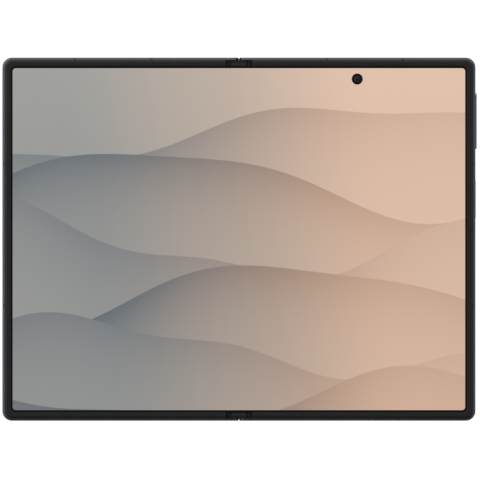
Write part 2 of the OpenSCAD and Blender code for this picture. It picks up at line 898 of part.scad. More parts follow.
module right_battery() {
  z0 = glass_t + coil_t + 0.15;
  color([0.2, 0.2, 0.22]) lift() layer(z0, mid_z - seat_clear)
    round_rect(battery_x, battery_right_y, room_far_x, battery_right_end, battery_r);
}

module charging_coil() {
  color("peru") lift() translate([usb_x, (battery_right_y + battery_right_end) / 2, glass_t + seat_clear])
    difference() {
      cylinder(h = coil_t, r = coil_r);
      translate([0, 0, -over]) cylinder(h = coil_t + 2 * over, r = coil_r / 2);
    }
}

// The USB board, which stops short of the socket and the loudspeaker
module usb_board() {
  color("darkgreen") lift() difference() {
    layer(board_z, board_z + board_t)
      rect(battery_x, usb_board_y, room_far_x - speaker_w - 0.6, usb_board_y + usb_board_l);
    translate([usb_x, -half_l, 0])
      layer(0, body_t) rect(-usb_w / 2 - 0.5, 0, usb_w / 2 + 0.5, usb_l + 0.4);
    post_holes(usb_posts);
  }
}

// The socket's metal shell, open at the wall
module usb_shell() {
  y0 = -half_l + usb_chamfer + 0.05;
  color("silver") lift() translate([usb_x, 0, usb_z]) difference() {
    along_y(y0, -half_l + usb_l)
      slot(usb_w + 2 * usb_shell_t - 0.02, usb_h + 2 * usb_shell_t - 0.02);
    along_y(y0 - over, -half_l + usb_l - 0.4) slot(usb_w, usb_h);
  }
}

module usb_tongue() {
  y1 = -half_l + usb_l - 0.4;
  color("black") lift() translate([usb_x, 0, usb_z]) {
    along_y(y1 - usb_l + 2, y1) square([tongue_w, tongue_t], center = true);
    along_y(y1 - 1, y1) slot(usb_w - 0.02, usb_h - 0.02);
  }
}

module bottom_speaker() {
  color("dimgray") lift() layer(speaker_z, mid_z - seat_clear)
    rect(room_far_x - speaker_w, speaker_y1 - speaker_l, room_far_x, speaker_y1);
}

module top_speaker() {
  color("dimgray") lift() left_side() layer(under_panel_z, mid_z - seat_clear)
    rect(room_far_x - speaker_w, -speaker_y1, room_far_x, speaker_l - speaker_y1);
}

module vibration_motor() {
  color("silver") lift()
    layer(motor_z, mid_z - seat_clear)
      rect(room_far_x - motor_w, speaker_y1 + board_gap / 2, room_far_x, battery_right_y - board_gap);
}

module magnets() {
  for (y = magnet_y)
    translate([inner_wall_x - magnet_w - seat_clear, y - magnet_l / 2, magnet_z])
      cube([magnet_w, magnet_l, mid_z - seat_clear - magnet_z]);
}

module right_magnets() {
  color("gray") lift() magnets();
}

module left_magnets() {
  color("gray") lift() left_side() magnets();
}

// Board screws from the back, and sunk screws into the hinge brackets
module screws(places) {
  for (p = places) translate([p[0], p[1], board_z - pan_head_t]) {
    cylinder(h = pan_head_t, r = pan_head_r);
    cylinder(h = pan_head_t + board_t + 1, r = screw_r);
  }
  bracket_screw_places() {
    translate([0, 0, display_z - sink_head_t - press_clear])
      cylinder(h = sink_head_t, r = screw_head_r);
    translate([0, 0, arm_z]) cylinder(h = display_z - sink_head_t - arm_z, r = screw_r);
  }
}

module right_screws() {
  color("silver") lift() screws(concat(main_posts, usb_posts));
}

module left_screws() {
  color("silver") lift() left_side() screws(left_posts);
}

module left_battery() {
  color([0.2, 0.2, 0.22]) lift() left_side() layer(under_panel_z, mid_z - seat_clear)
    round_rect(battery_x, battery_left_y, room_far_x, battery_left_end, battery_r);
}

// The board beside the SIM socket
module left_board() {
  color("darkgreen") lift() left_side() difference() {
    layer(board_z, board_z + board_t) rect(battery_x, usb_board_y, room_far_x, left_board_top);
    translate([-tray_x, -half_l, 0])
      layer(0, body_t) rect(-tray_w / 2 - 0.4, 0, tray_w / 2 + 0.4, wall_t + tray_l + 0.6);
    post_holes(left_posts);
  }
}

// The tray: a face that fills its slot, and a frame that holds the card
module sim_tray() {
  face_y = -half_l;
  color(metal) lift() translate([tray_x, 0, tray_z]) {
    along_y(face_y, face_y + tray_face_t) slot(tray_w, tray_h);
    difference() {
      translate([-tray_body_w / 2, face_y + tray_face_t - 0.1, -tray_body_t / 2])
        cube([tray_body_w, tray_l + 0.1, tray_body_t]);
      translate([-card_w / 2, face_y + wall_t + 2.5, -tray_body_t / 2 + 0.3])
        cube([card_w, card_l, tray_body_t]);
    }
  }
}

// The socket's cage: open towards the wall, and closed behind the tray
module sim_socket() {
  w = tray_body_w + 2 * (key_clear + socket_t);
  h = tray_body_t + 2 * (key_clear + socket_t);
  y0 = -half_l + wall_t + 0.2;
  y1 = -half_l + tray_face_t + tray_l + 0.15 + socket_t;
  color("silver") lift() translate([tray_x, 0, tray_z]) difference() {
    along_y(y0, y1) square([w, h], center = true);
    along_y(y0 - over, y1 - socket_t)
      square([w - 2 * socket_t, h - 2 * socket_t], center = true);
    translate([-card_w / 2, y0 + 2, 0]) cube([card_w, card_l, h]);
  }
}

// ---- Hinge ---------------------------------------------------------------

// Section that is round about both fold axes, up to a level
module spine_section(r, top) {
  intersection() {
    union() {
      for (s = [-1, 1]) translate([s * axis_x, axis_z]) circle(r);
      rect(-axis_x, axis_z - r, axis_x, axis_z + r);
    }
    rect(-axis_x - r, axis_z - r, axis_x + r, top);
  }
}

module hinge_housing() {
  color(metal) lift() difference() {
    along_y(-spine_half_l, spine_half_l) difference() {
      spine_section(spine_r, axis_z);
      spine_section(spine_in_r, axis_z + over);
    }
    hinge_units() {
      for (v = unit_screw_v) translate([0, v, 0])
        cylinder(h = axis_z, r = unit_screw_r + press_clear);
    }
  }
}

// A cap at each end of the housing, with a raised middle and two side ribs
module hinge_end_caps() {
  cap_r = 0.5;
  color(dark) lift() for (s = [0, 1]) mirror([0, s, 0]) {
    along_y(cap_y, spine_half_l) {
      spine_section(core_r, axis_z + 0.9);
      for (t = [-1, 1])
        translate([t * (cap_rib_x + cap_rib_w / 2) - cap_rib_w / 2, axis_z])
          square([cap_rib_w, cap_rib_top - axis_z]);
    }
    layer(axis_z, cap_top)
      round_rect(-cap_w / 2, cap_y, cap_w / 2, spine_half_l, cap_r);
  }
}

// One hinge unit's bearing blocks, joined by a base on the housing's floor
module hinge_blocks() {
  floor_z = axis_z - spine_in_r;
  base_t = 0.2;
  color("dimgray") lift() hinge_units() difference() {
    union() {
      for (v = [0, block2_v, block3_v]) along_y(v, v + block_t) {
        spine_section(core_r, core_top);
        rect(-axis_x, floor_z, axis_x, axis_z);
      }
      translate([-axis_x, 0, floor_z]) cube([2 * axis_x, unit_l, base_t]);
    }
    for (s = [-1, 1]) {
      rod(s * axis_x, axis_z, shaft_r + run_clear, -over, unit_l + over);
      rod(s * pitch_r, axis_z, journal_r + run_clear, -over, block2_v + block_t + over);
    }
    for (v = unit_screw_v) translate([0, v, 0])
      cylinder(h = axis_z, r = unit_screw_r + press_clear);
  }
}

module hinge_block_screws() {
  floor_z = axis_z - spine_in_r;
  base_t = 0.2;
  color("silver") lift() hinge_units() {
    for (v = unit_screw_v) translate([0, v, 0]) {
      translate([0, 0, floor_z + base_t]) cylinder(h = unit_head_t, r = unit_head_r);
      translate([0, 0, axis_z - spine_r + 0.05])
        cylinder(h = floor_z + base_t - axis_z + spine_r, r = unit_screw_r);
    }
  }
}

// A gear's outline, with a tooth at angle turn
module gear_outline(turn) {
  step = 360 / teeth;
  polygon([
    for (i = [0 : teeth - 1], c = [[root_r, -0.33], [tip_r, -0.1], [tip_r, 0.1], [root_r, 0.33]])
      let (a = turn + (i + c[1]) * step) c[0] * [cos(a), sin(a)]
  ]);
}

// A shaft with its pinion cut in one piece
module pinion_shafts(turn) {
  hinge_units() {
    rod(axis_x, axis_z, shaft_r, 0, unit_l);
    along_y(gear_v, gear_v + gear_w) translate([axis_x, axis_z]) gear_outline(turn);
  }
}

module right_pinion_shafts() {
  color("lightgray") lift() pinion_shafts(0);
}

module left_pinion_shafts() {
  color("lightgray") lift() left_side() pinion_shafts(180 / teeth);
}

// An idler with its two journals in one piece
module idler_gears(turn) {
  hinge_units() {
    rod(pitch_r, axis_z, journal_r, 0, block2_v + block_t);
    along_y(gear_v, gear_v + gear_w) translate([pitch_r, axis_z]) gear_outline(turn);
  }
}

module right_idler_gears() {
  color("khaki") lift() idler_gears(180 / teeth);
}

module left_idler_gears() {
  color("khaki") lift() left_side() idler_gears(0);
}

// An arm: an eye pressed on its shaft, and a bracket screwed under the plate
module hinge_arms() {
  hinge_units() difference() {
    union() {
      along_y(arm_v, arm_v + arm_w) {
        translate([axis_x, axis_z]) circle(hub_r);
        rect(axis_x, arm_z, bracket_x + 0.1, arm_top);
      }
      layer(arm_z, arm_top)
        round_rect(bracket_x, arm_v + arm_w / 2 - bracket_w / 2, bracket_end,
                   arm_v + arm_w / 2 + bracket_w / 2, 0.8);
    }
    rod(axis_x, axis_z, shaft_r + press_clear, 0, unit_l);
    for (s = [-1, 1])
      translate([bracket_screw_x, arm_v + arm_w / 2 + s * bracket_screw_dy, 0])
        cylinder(h = body_t, r = screw_r + press_clear);
  }
}

module right_hinge_arms() {
  color("silver") lift() hinge_arms();
}

module left_hinge_arms() {
  color("silver") lift() left_side() hinge_arms();
}

// A friction washer and a stack of disc springs on each shaft
module disc_springs() {
  bore = shaft_r + 0.02;
  hinge_units() translate([axis_x, 0, axis_z]) rotate([-90, 0, 0]) {
    translate([0, 0, washer_v]) difference() {
      cylinder(h = washer_t, r = spring_out_r);
      translate([0, 0, -over]) cylinder(h = washer_t + 2 * over, r = bore);
    }
    for (i = [0 : springs - 1]) translate([0, 0, spring_v + i * spring_pitch])
      rotate_extrude() polygon(i % 2 == 0
        ? [[bore, 0], [spring_out_r, spring_cone - 0.01],
           [spring_out_r, spring_pitch - 0.01], [bore, spring_t]]
        : [[bore, spring_cone - 0.01], [spring_out_r, 0],
           [spring_out_r, spring_t], [bore, spring_pitch - 0.01]]);
  }
}

module right_disc_springs() {
  color("darkgray") lift() disc_springs();
}

module left_disc_springs() {
  color("darkgray") lift() left_side() disc_springs();
}

// A plate on the bearing blocks that backs the display at the fold
module display_support() {
  y1 = unit_y + unit_l;
  color("silver") lift() layer(core_top, display_z - support_under)
    rect(-support_w / 2, -y1, support_w / 2, y1);
}

// The flat cable between the two halves, where it crosses the hinge
module fold_cable() {
  color("saddlebrown") lift() layer(cable_z, cable_z + cable_t)
    rect(-room_x, -cable_w / 2, room_x, cable_w / 2);
}

right_frame();
right_antenna_bands();
right_bezel();
display_right();
rear_glass();
camera_island();
camera_rings();
camera_windows();
flash_lens();
main_camera();
wide_camera();
inner_camera();
inner_camera_window();
volume_key();
power_key();
key_switches();
main_board();
board_shields();
right_battery();
charging_coil();
usb_board();
usb_shell();
usb_tongue();
bottom_speaker();
vibration_motor();
right_magnets();
right_screws();
right_hinge_arms();
right_pinion_shafts();
right_disc_springs();
left_frame();
left_antenna_bands();
left_bezel();
display_left();
cover_glass();
cover_display();
cover_camera();
left_battery();
left_board();
sim_socket();
sim_tray();
top_speaker();
left_magnets();
left_screws();
left_hinge_arms();
left_pinion_shafts();
left_disc_springs();
hinge_housing();
hinge_end_caps();
hinge_blocks();
hinge_block_screws();
right_idler_gears();
left_idler_gears();
display_support();
display_fold();
fold_cable();
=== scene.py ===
"""Folding phone, open flat on a pale floor: the pieces that show, and the finish of every part."""
import math

import bmesh
import bpy
import numpy as np
from bpy.props import FloatProperty, FloatVectorProperty, IntProperty, PointerProperty
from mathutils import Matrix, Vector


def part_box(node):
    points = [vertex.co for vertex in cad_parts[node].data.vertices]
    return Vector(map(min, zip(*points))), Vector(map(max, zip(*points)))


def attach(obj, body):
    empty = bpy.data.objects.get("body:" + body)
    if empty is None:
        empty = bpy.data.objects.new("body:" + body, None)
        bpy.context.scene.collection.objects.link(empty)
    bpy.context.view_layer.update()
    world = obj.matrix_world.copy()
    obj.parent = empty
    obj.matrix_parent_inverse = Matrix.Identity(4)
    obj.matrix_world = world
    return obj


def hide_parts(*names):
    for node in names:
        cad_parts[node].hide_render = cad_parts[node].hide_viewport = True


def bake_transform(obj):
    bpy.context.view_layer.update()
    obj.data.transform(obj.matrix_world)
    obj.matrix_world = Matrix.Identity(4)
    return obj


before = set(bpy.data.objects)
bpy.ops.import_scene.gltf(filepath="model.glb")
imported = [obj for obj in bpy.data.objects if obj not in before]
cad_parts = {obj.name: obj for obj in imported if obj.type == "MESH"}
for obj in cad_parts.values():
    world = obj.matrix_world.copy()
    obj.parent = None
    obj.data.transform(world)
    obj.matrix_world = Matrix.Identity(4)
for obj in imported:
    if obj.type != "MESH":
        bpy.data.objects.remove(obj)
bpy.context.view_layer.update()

bl_info = {
    "name": "Folding phone",
    "version": (1, 0, 0),
    "blender": (4, 5, 0),
    "location": "3D View > Sidebar > Phone",
    "description": "Dresses the folding phone's parts and adds its screens, bezels, keys and lenses",
    "category": "Object",
}

MM = 0.001


def node_box(name):
    """Lowest and highest corner of a CAD node at rest, in millimetres."""
    low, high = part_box(name)
    return np.array(low) / MM, np.array(high) / MM


HALF_W, HALF_L, FRAME_TOP = node_box("right_frame")[1]
FOLD_W, FOLD_L = node_box("display_fold")[1][:2]
SCREEN_LOW, SCREEN_HIGH = node_box("display_right")
BEZEL_LOW, BEZEL_HIGH = node_box("right_bezel")
# Corner radii of the frame and screen, radius of a small camera's hole, half side of the
# patch of rings round it, and the place of the outer screen's camera
OUTER_R = 3.3
SCREEN_R = 1.6
EYE_R = 1.9
EYE_PATCH = 4.0
COVER_EYE = (-40.35, 52.95)
# Near-black tone of the painted shade in the hollows beside the hinge
RECESS_SHADE = (0.04, 0.04, 0.042)
# Each half, its body and its side of the fold
HALVES = (("right", "right_half", 1), ("left", "left_half", -1))


# ---- Settings ----

def srgb(*levels):
    """A colour given by its 8-bit screen values, as the linear colour that shaders use."""
    shares = [level / 255 for level in levels]
    return tuple(s / 12.92 if s <= 0.04045 else ((s + 0.055) / 1.055) ** 2.4 for s in shares)


def number(name, description, value, low, high, **unit):
    return FloatProperty(
        name=name, description=description, default=value, min=low, max=high, **unit)


def length(name, description, millimetres, low, high):
    """A size that is shown as a distance; the limits are in millimetres too."""
    return number(name, description, millimetres * MM, low * MM, high * MM, precision=6,
                  subtype="DISTANCE", unit="LENGTH")


def colour(name, description, *levels):
    """A colour with its default given by 8-bit screen values."""
    return FloatVectorProperty(
        name=name, description=description, default=srgb(*levels), min=0, max=1, subtype="COLOR")


def power(name, description, watts):
    """The power of a light."""
    return number(name, description, watts, 0, 500, subtype="POWER", unit="POWER")


class PhoneSizes(bpy.types.PropertyGroup):
    """Sizes of the pieces that are made here."""

    border_side: length("Side border", "Black border left and right of the picture", 0.56, 0.1, 3)
    border_end: length("End border", "Black border above and below the picture", 0.67, 0.1, 3)
    picture_corner: length("Picture corner", "Corner radius of the lit picture", 1.1, 0.2, 5)
    bezel_edge: length("Bezel edge", "Softening of the bezel's edges", 0.1, 0.02, 0.3)
    bezel_slope: length("Bezel slope", "Width of the bezel's outer slope", 0.6, 0.2, 1)
    bezel_flat: length("Bezel flat", "Width of the bezel's level top", 1.5, 0.8, 2)
    panel: length("Fold panel", "Thickness of the screen where it folds", 0.3, 0.1, 1)
    key_edge: length("Key edge", "Rounding of the keys' outer edge", 0.35, 0.05, 0.5)
    key_crown: length("Key crown", "How far a key's face swells at its middle", 0.05, 0, 0.2)
    glass_edge: length("Glass edge", "Rounding of the cover glass's edge", 0.15, 0.02, 0.3)
    ring_edge: length("Ring edge", "Chamfer of the lens rings", 0.16, 0.02, 0.3)
    rib_pitch: length("Flash rib pitch", "Distance between the flash lens's ribs", 0.2, 0.1, 0.5)
    steps: IntProperty(
        name="Round steps", description="Points on a small rounding", default=6, min=2, max=16)


class PhoneColours(bpy.types.PropertyGroup):
    """Colours of the phone's finishes."""

    metal: colour("Frame metal", "Anodised metal of the frames and keys", 98, 100, 109)
    hinge: colour("Hinge metal", "Metal of the hinge's spine", 92, 94, 103)
    end_cap: colour("End caps", "Black finish of the hinge's end caps", 43, 43, 44)
    bezel: colour("Bezel", "Soft plastic round the screen", 32, 32, 33)
    back: colour("Back glass", "Frosted glass of the back", 74, 78, 88)
    picture_left: colour("Picture, left", "Lit tone of the picture's left side", 154, 155, 152)
    picture_middle: colour("Picture, middle", "Lit tone of its middle", 183, 169, 157)
    picture_right: colour("Picture, right", "Lit tone of its right side", 224, 191, 169)
    shade_left: colour("Shade, left", "Shaded tone of the picture's left side", 86, 96, 106)
    shade_right: colour("Shade, right", "Shaded tone of its right side", 172, 137, 113)


class PhoneStage(bpy.types.PropertyGroup):
    """Floor, lights and camera."""

    floor_size: length("Floor", "Side of the square floor", 9000, 1000, 20000)
    lens: number("Lens", "Focal length of the camera", 300, 50, 500, subtype="DISTANCE_CAMERA")
    view_width: length("View width", "Width of the picture at the frames' height", 163.815, 150, 400)
    floor_glow: number("Floor glow", "Light of the floor, as of a light table", 0.96, 0, 2)
    sky_bright: number("Sky, bright side", "Light of the sky at the upper left", 1.0, 0, 4)
    sky_dark: number("Sky, dark side", "Light of the sky at the lower right", 0.06, 0, 4)
    key_power: power("Key light", "Power of the large light at the upper left", 8)
    fill_power: power("Fill light", "Power of the light at the right", 3.5)
    corner_power: power("Corner light", "Power of the light beyond the upper right corner", 5)


# ---- Shapes ----

def spread(x, y, z):
    """Points from their x, y and z, any of which may be one number for a whole row or grid."""
    return np.stack(np.broadcast_arrays(x, y, z), -1)


def spaced(start, *runs):
    """Grid lines from start through each run's end, with that run's number of equal cells."""
    lines = [np.array([start], float)]
    for end, cells in runs:
        lines.append(np.linspace(lines[-1][-1], end, cells + 1)[1:])
    return np.concatenate(lines)


def quads(rows, columns, wrap_rows=False, wrap_columns=False):
    """Faces of a grid of points: each joins point (i, j) to (i+1, j), (i+1, j+1) and (i, j+1)."""
    i = np.arange(rows if wrap_rows else rows - 1)[:, None]
    j = np.arange(columns if wrap_columns else columns - 1)[None, :]
    below, right = (i + 1) % rows, (j + 1) % columns
    corners = np.broadcast_arrays(
        i * columns + j, below * columns + j, below * columns + right, i * columns + right
    )
    return np.stack(corners, -1).reshape(-1, 4)


def loft(loops, ring=False):
    """Closed shell through a stack of closed loops, an array (loops, points, 3).
    The end loops are filled, or joined to each other where ring is true."""
    rows, columns = loops.shape[:2]
    faces = quads(rows, columns, wrap_rows=ring, wrap_columns=True).tolist()
    if not ring:
        faces += [list(range(columns)), list(range((rows - 1) * columns, rows * columns))]
    return loops.reshape(-1, 3), faces


def turned(profile, centre, points, ring=False):
    """Solid of revolution about a vertical axis: point (r, z) of the profile at angle a is at
    centre + (r cos a, r sin a) and height z."""
    angle = np.linspace(0, 2 * np.pi, points, endpoint=False)
    radius, height = np.array(profile, float).T[..., None]
    x, y = centre[0] + radius * np.cos(angle), centre[1] + radius * np.sin(angle)
    return loft(spread(x, y, height), ring)


def softened(corners, cut, steps):
    """A closed outline with each corner replaced by a quadratic curve that starts and ends
    cut away from it, or less where a side is short. The corner is the curve's control point."""
    corners = np.array(corners, float)
    towards = np.roll(corners, 1, 0) - corners
    onwards = np.roll(corners, -1, 0) - corners
    first, last = np.linalg.norm(towards, axis=1), np.linalg.norm(onwards, axis=1)
    reach = np.minimum(cut, 0.45 * np.minimum(first, last))[:, None]
    begin = (corners + towards / first[:, None] * reach)[:, None]
    end = (corners + onwards / last[:, None] * reach)[:, None]
    t = np.linspace(0, 1, steps)[None, :, None]
    curve = (1 - t) ** 2 * begin + 2 * t * (1 - t) * corners[:, None] + t ** 2 * end
    return curve.reshape(-1, 2)


def rounded(x, turn, corner, half_l):
    """Half length at x of a plate whose corner turns from x = turn on: the full half length,
    less what a quarter circle leaves out."""
    across = np.maximum(x - turn, 0)
    return half_l - corner + np.sqrt(np.maximum(corner ** 2 - across ** 2, 0))


def corner_lines(turn, corner, cells):
    """Grid lines over such a corner, at equal angles of its quarter circle."""
    return turn + corner * np.sin(np.linspace(0, np.pi / 2, cells + 1)[1:])


def plan(columns, rows, half_height, hole=None):
    """Flat quads over x = column and y = row times the half height at that x.
    hole is (x, y, radius, half side): a square of that half side, on grid lines, is
    replaced by rings from the circle to the square's edge."""
    x = np.repeat(columns[:, None], len(rows), 1)
    y = half_height(columns)[:, None] * rows[None, :]
    points = np.stack([x, y], -1).reshape(-1, 2)
    faces = quads(len(columns), len(rows))
    if hole is None:
        return points, faces
    centre, radius, side = np.array(hole[:2]), hole[2], hole[3]
    middle = points[faces].mean(1) - centre
    faces = faces[np.abs(middle).max(1) > side]
    i0, i1 = (np.abs(columns - centre[0] - s * side).argmin() for s in (-1, 1))
    heights = rows * half_height(np.array([centre[0]]))[0]
    j0, j1 = (np.abs(heights - centre[1] - s * side).argmin() for s in (-1, 1))
    i, j = np.arange(i0, i1), np.arange(j0, j1)
    loop = np.concatenate([
        i * len(rows) + j0, i1 * len(rows) + j,
        (i0 + i1 - i) * len(rows) + j1, i0 * len(rows) + (j0 + j1 - j),
    ])
    edge = points[loop]
    angle = np.linspace(-0.75 * np.pi, 1.25 * np.pi, len(loop), endpoint=False)
    circle = centre + radius * np.stack([np.cos(angle), np.sin(angle)], -1)
    count = 5
    share = np.linspace(0, 1, count, endpoint=False)[:, None, None]
    rings = circle + share ** 1.3 * (edge - circle)
    index = np.concatenate([len(points) + np.arange(count * len(loop)), loop])
    patch = index[quads(count + 1, len(loop), wrap_columns=True)]
    return np.concatenate([points, rings.reshape(-1, 2)]), np.concatenate([faces, patch])


def slab(points, faces, low, high):
    """Closed solid over a flat mesh, from height low to height high (numbers or arrays).
    Walls stand on edges that only one face has."""
    count = len(points)
    top = np.column_stack([points, np.broadcast_to(high, count)])
    bottom = np.column_stack([points, np.broadcast_to(low, count)])
    a, b = faces.reshape(-1), np.roll(faces, -1, 1).reshape(-1)
    single = ~np.isin(a * count + b, b * count + a)
    a, b = a[single], b[single]
    walls = np.column_stack([a, a + count, b + count, b])
    shell = np.concatenate([faces, faces[:, ::-1] + count, walls])
    return np.concatenate([top, bottom]), shell.tolist()


def pill(long, high):
    """Outline of a slot with round ends: two half circles of the slot's height."""
    angle = np.linspace(-np.pi / 2, np.pi / 2, 17)
    radius = high / 2
    right = np.stack([long / 2 - radius + radius * np.cos(angle), radius * np.sin(angle)], -1)
    return np.concatenate([right, -right])


def placed(name, data):
    """A new object of the scene that shows a mesh, a light or a camera."""
    made = bpy.data.objects.new(name, data)
    bpy.context.scene.collection.objects.link(made)
    return made


def piece(name, shells, finishes, side=1):
    """A mesh object of closed shells, pairs of points in millimetres and faces. A side of -1
    mirrors it to the left half. Points that meet are merged, and faces look outwards."""
    points, faces, start = [], [], 0
    for place, corners in shells:
        points.append(place * (side, 1, 1))
        faces += [[start + corner for corner in face] for face in corners]
        start += len(place)
    mesh = bpy.data.meshes.new(name)
    mesh.from_pydata(np.concatenate(points) * MM, [], faces)
    work = bmesh.new()
    work.from_mesh(mesh)
    bmesh.ops.remove_doubles(work, verts=work.verts, dist=1e-7)
    bmesh.ops.dissolve_degenerate(work, edges=work.edges, dist=1e-8)
    bmesh.ops.recalc_face_normals(work, faces=work.faces)
    work.to_mesh(mesh)
    work.free()
    mesh.shade_smooth()
    mesh.set_sharp_from_angle(angle=math.radians(32))
    for finish in finishes:
        mesh.materials.append(finish)
    made = placed(name, mesh)
    return made


# ---- Finishes ----

def math_methods(operation):
    """Two methods of Value that add a Math node; the reflected one swaps its terms."""
    return (lambda self, other: self.nodes.maths(operation, self, other),
            lambda self, other: self.nodes.maths(operation, other, self))


class Value:
    """A number that varies over a surface. A sum with it adds a Math node to its tree."""

    __add__, __radd__ = math_methods("ADD")
    __sub__, __rsub__ = math_methods("SUBTRACT")
    __mul__, __rmul__ = math_methods("MULTIPLY")
    __truediv__, __rtruediv__ = math_methods("DIVIDE")

    def __init__(self, nodes, socket):
        self.nodes, self.socket = nodes, socket

    def __abs__(self):
        return self.nodes.maths("ABSOLUTE", self)


class Nodes:
    """A node tree in the making, for a finish or for the sky."""

    def __init__(self, tree):
        self.tree = tree
        tree.nodes.clear()

    def node(self, kind, settings=(), values=(), output=0):
        """Adds a node: its settings first, then the values or links of its sockets. Gives
        one of its outputs, if it has any."""
        made = self.tree.nodes.new(kind)
        for key, value in dict(settings).items():
            setattr(made, key, value)
        for key, value in dict(values).items():
            self.feed(made.inputs[key], value)
        return Value(self, made.outputs[output]) if made.outputs else None

    def feed(self, socket, value):
        if isinstance(value, Value):
            self.tree.links.new(value.socket, socket)
        else:
            socket.default_value = value

    def maths(self, operation, *terms):
        return self.node("ShaderNodeMath", {"operation": operation}, enumerate(terms))

    def split(self, vector):
        """The three numbers of a vector."""
        made = self.node("ShaderNodeSeparateXYZ", values={0: vector}).socket.node
        return [Value(self, output) for output in made.outputs]

    def step(self, value, low, high):
        """0 below low, 1 above high and an S-curve between; low may be above high."""
        return self.node("ShaderNodeMapRange", {"interpolation_type": "SMOOTHSTEP"}, {
            "Value": value, "From Min": low, "From Max": high})

    def diagonal(self, across, along):
        """Length of the slope that two distances make."""
        return self.maths("SQRT", across * across + along * along)

    def outside(self, x, y, half_x, half_y):
        """Distance from a rectangle round 0 with these half sides; it is 0 inside."""
        return self.diagonal(self.maths("MAXIMUM", abs(x) - half_x, 0.0),
                             self.maths("MAXIMUM", abs(y) - half_y, 0.0))

    def mix(self, share, first, second):
        """first where share is 0 and second where it is 1; colours as tuples or values."""
        return self.node("ShaderNodeMix", {"data_type": "RGBA"}, {
            0: share, 6: rgba(first), 7: rgba(second)}, output=2)

    def bump(self, height, depth, strength):
        """A normal from a height between 0 and 1, depth millimetres high."""
        return self.node("ShaderNodeBump", values={
            "Strength": strength, "Distance": depth * MM, "Height": height})


class Finish(Nodes):
    """A material in the making: its nodes, the shader that they feed, and the point on the
    piece in millimetres, as a vector and as x, y and z."""

    def __init__(self, name, **constants):
        self.material = bpy.data.materials.new(name)
        self.material.use_nodes = True
        super().__init__(self.material.node_tree)
        surface = self.node("ShaderNodeBsdfPrincipled", values={
            key.replace("_", " ").title().replace("Ior", "IOR"): value
            for key, value in constants.items()
        })
        self.shader = surface.socket.node
        self.node("ShaderNodeOutputMaterial", values={"Surface": surface})
        metres = self.node("ShaderNodeTexCoord", output="Object")
        self.vector = self.node("ShaderNodeVectorMath", {"operation": "SCALE"},
                                {0: metres, "Scale": 1 / MM})
        self.x, self.y, self.z = self.split(self.vector)

    def vary(self, **sockets):
        """Feeds sockets of the shader, such as base_color=..., and returns the material."""
        for key, value in sockets.items():
            self.feed(self.shader.inputs[key.replace("_", " ").title()], value)
        return self.material

    def noise(self, scale, detail=2.0, roughness=0.5, stretch=None):
        """Cloudy noise over the piece; stretch multiplies x, y and z first."""
        vector = self.vector
        if stretch:
            vector = self.node("ShaderNodeVectorMath", {"operation": "MULTIPLY"},
                               {0: vector, 1: stretch})
        return self.node("ShaderNodeTexNoise", values={
            "Vector": vector, "Scale": scale, "Detail": detail, "Roughness": roughness})

    def away(self, centre):
        """Distance from a point of the plan."""
        return self.diagonal(self.x - centre[0], self.y - centre[1])


def rgba(tone):
    return tone if isinstance(tone, Value) else (*tone[:3], 1.0)


def shade(tone, factor):
    """A colour made lighter or darker by a factor."""
    return tuple(level * factor for level in tone[:3])


def anodised_metal(name, tone, roughness=0.36, recess_shade=None):
    """Bead-blasted, anodised metal: fine grain in the bump and faint clouds in the colour.
    The recess mask gives, from the finish, where painted shade darkens the part almost to black."""
    finish = Finish(name, metallic=1.0, specular_tint=(0.3, 0.3, 0.32, 1.0))
    cloud = finish.noise(0.08, 3)
    fine = finish.noise(9, 3, 0.7)
    colour = finish.mix(cloud, shade(tone, 0.95), shade(tone, 1.05))
    if recess_shade:
        # Painted shade: where the recess mask is, the colour goes almost to black
        colour = finish.mix(recess_shade(finish), colour, RECESS_SHADE)
    return finish.vary(
        base_color=colour,
        roughness=roughness + 0.1 * (fine - 0.5),
        normal=finish.bump(fine, 0.007, 0.5),
    )


def hinge_pocket_shade(finish):
    """Painted shade on the frames' walls beside the hinge's end caps, inside the rails, where the
    pocket lies in shade.
    """
    wall, floor, inner, rail = 4.4, 2.2, 58.0, 61.0
    x, y, z = abs(finish.x), abs(finish.y), finish.z
    across = finish.step(x, wall + 0.02, wall) * finish.step(z, floor, floor + 0.2)
    return across * finish.step(y, inner, inner + 0.5) * finish.step(y, rail, rail - 0.02)


def spine_trough_shade(finish):
    """Painted shade on the hollow side and the rim of the hinge's spine."""
    wall, floor, rim = 4.2, 2.3, 3.72
    x, z = abs(finish.x), finish.z
    hollow = finish.step(z, floor, floor + 0.1) * finish.step(x, wall + 0.04, wall)
    return finish.maths("MAXIMUM", hollow, finish.step(z, rim, rim + 0.04))


def turned_metal(name, tone, roughness, along=(1, 12, 12)):
    """Machined metal with fine lines along one axis."""
    finish = Finish(name, metallic=1.0)
    lines = finish.noise(1.5, 4, 0.7, stretch=along)
    return finish.vary(
        base_color=finish.mix(lines, shade(tone, 0.88), shade(tone, 1.08)),
        roughness=roughness + 0.14 * lines,
        normal=finish.bump(lines, 0.01, 0.5),
    )


def end_cap_rim_shade(finish):
    """Painted shade on the end caps' outer rim, where it rolls down into the gap: darker than their
    middle.
    """
    inner, outer, low, high = 59.7, 60.8, 5.2, 5.5
    return finish.step(abs(finish.y), inner, outer) * finish.step(finish.z, low, high)


def soft_plastic(name, tone, roughness, grain=0.02, scale=7.0, rim=None):
    """Moulded plastic or rubber with a fine eroded texture.
    rim gives, from the finish, where painted shade darkens it."""
    finish = Finish(name, specular_ior_level=0.35)
    fine = finish.noise(scale, 4, 0.6)
    cloud = finish.noise(0.15, 2)
    colour = finish.mix(cloud, shade(tone, 0.9), shade(tone, 1.1))
    if rim:
        # Painted shade: where the rim mask is, the colour is darkened to a fifth
        colour = finish.mix(rim(finish), colour, shade(tone, 0.2))
    return finish.vary(
        base_color=colour,
        roughness=roughness + 0.12 * (fine - 0.5),
        normal=finish.bump(fine, grain, 0.6),
    )


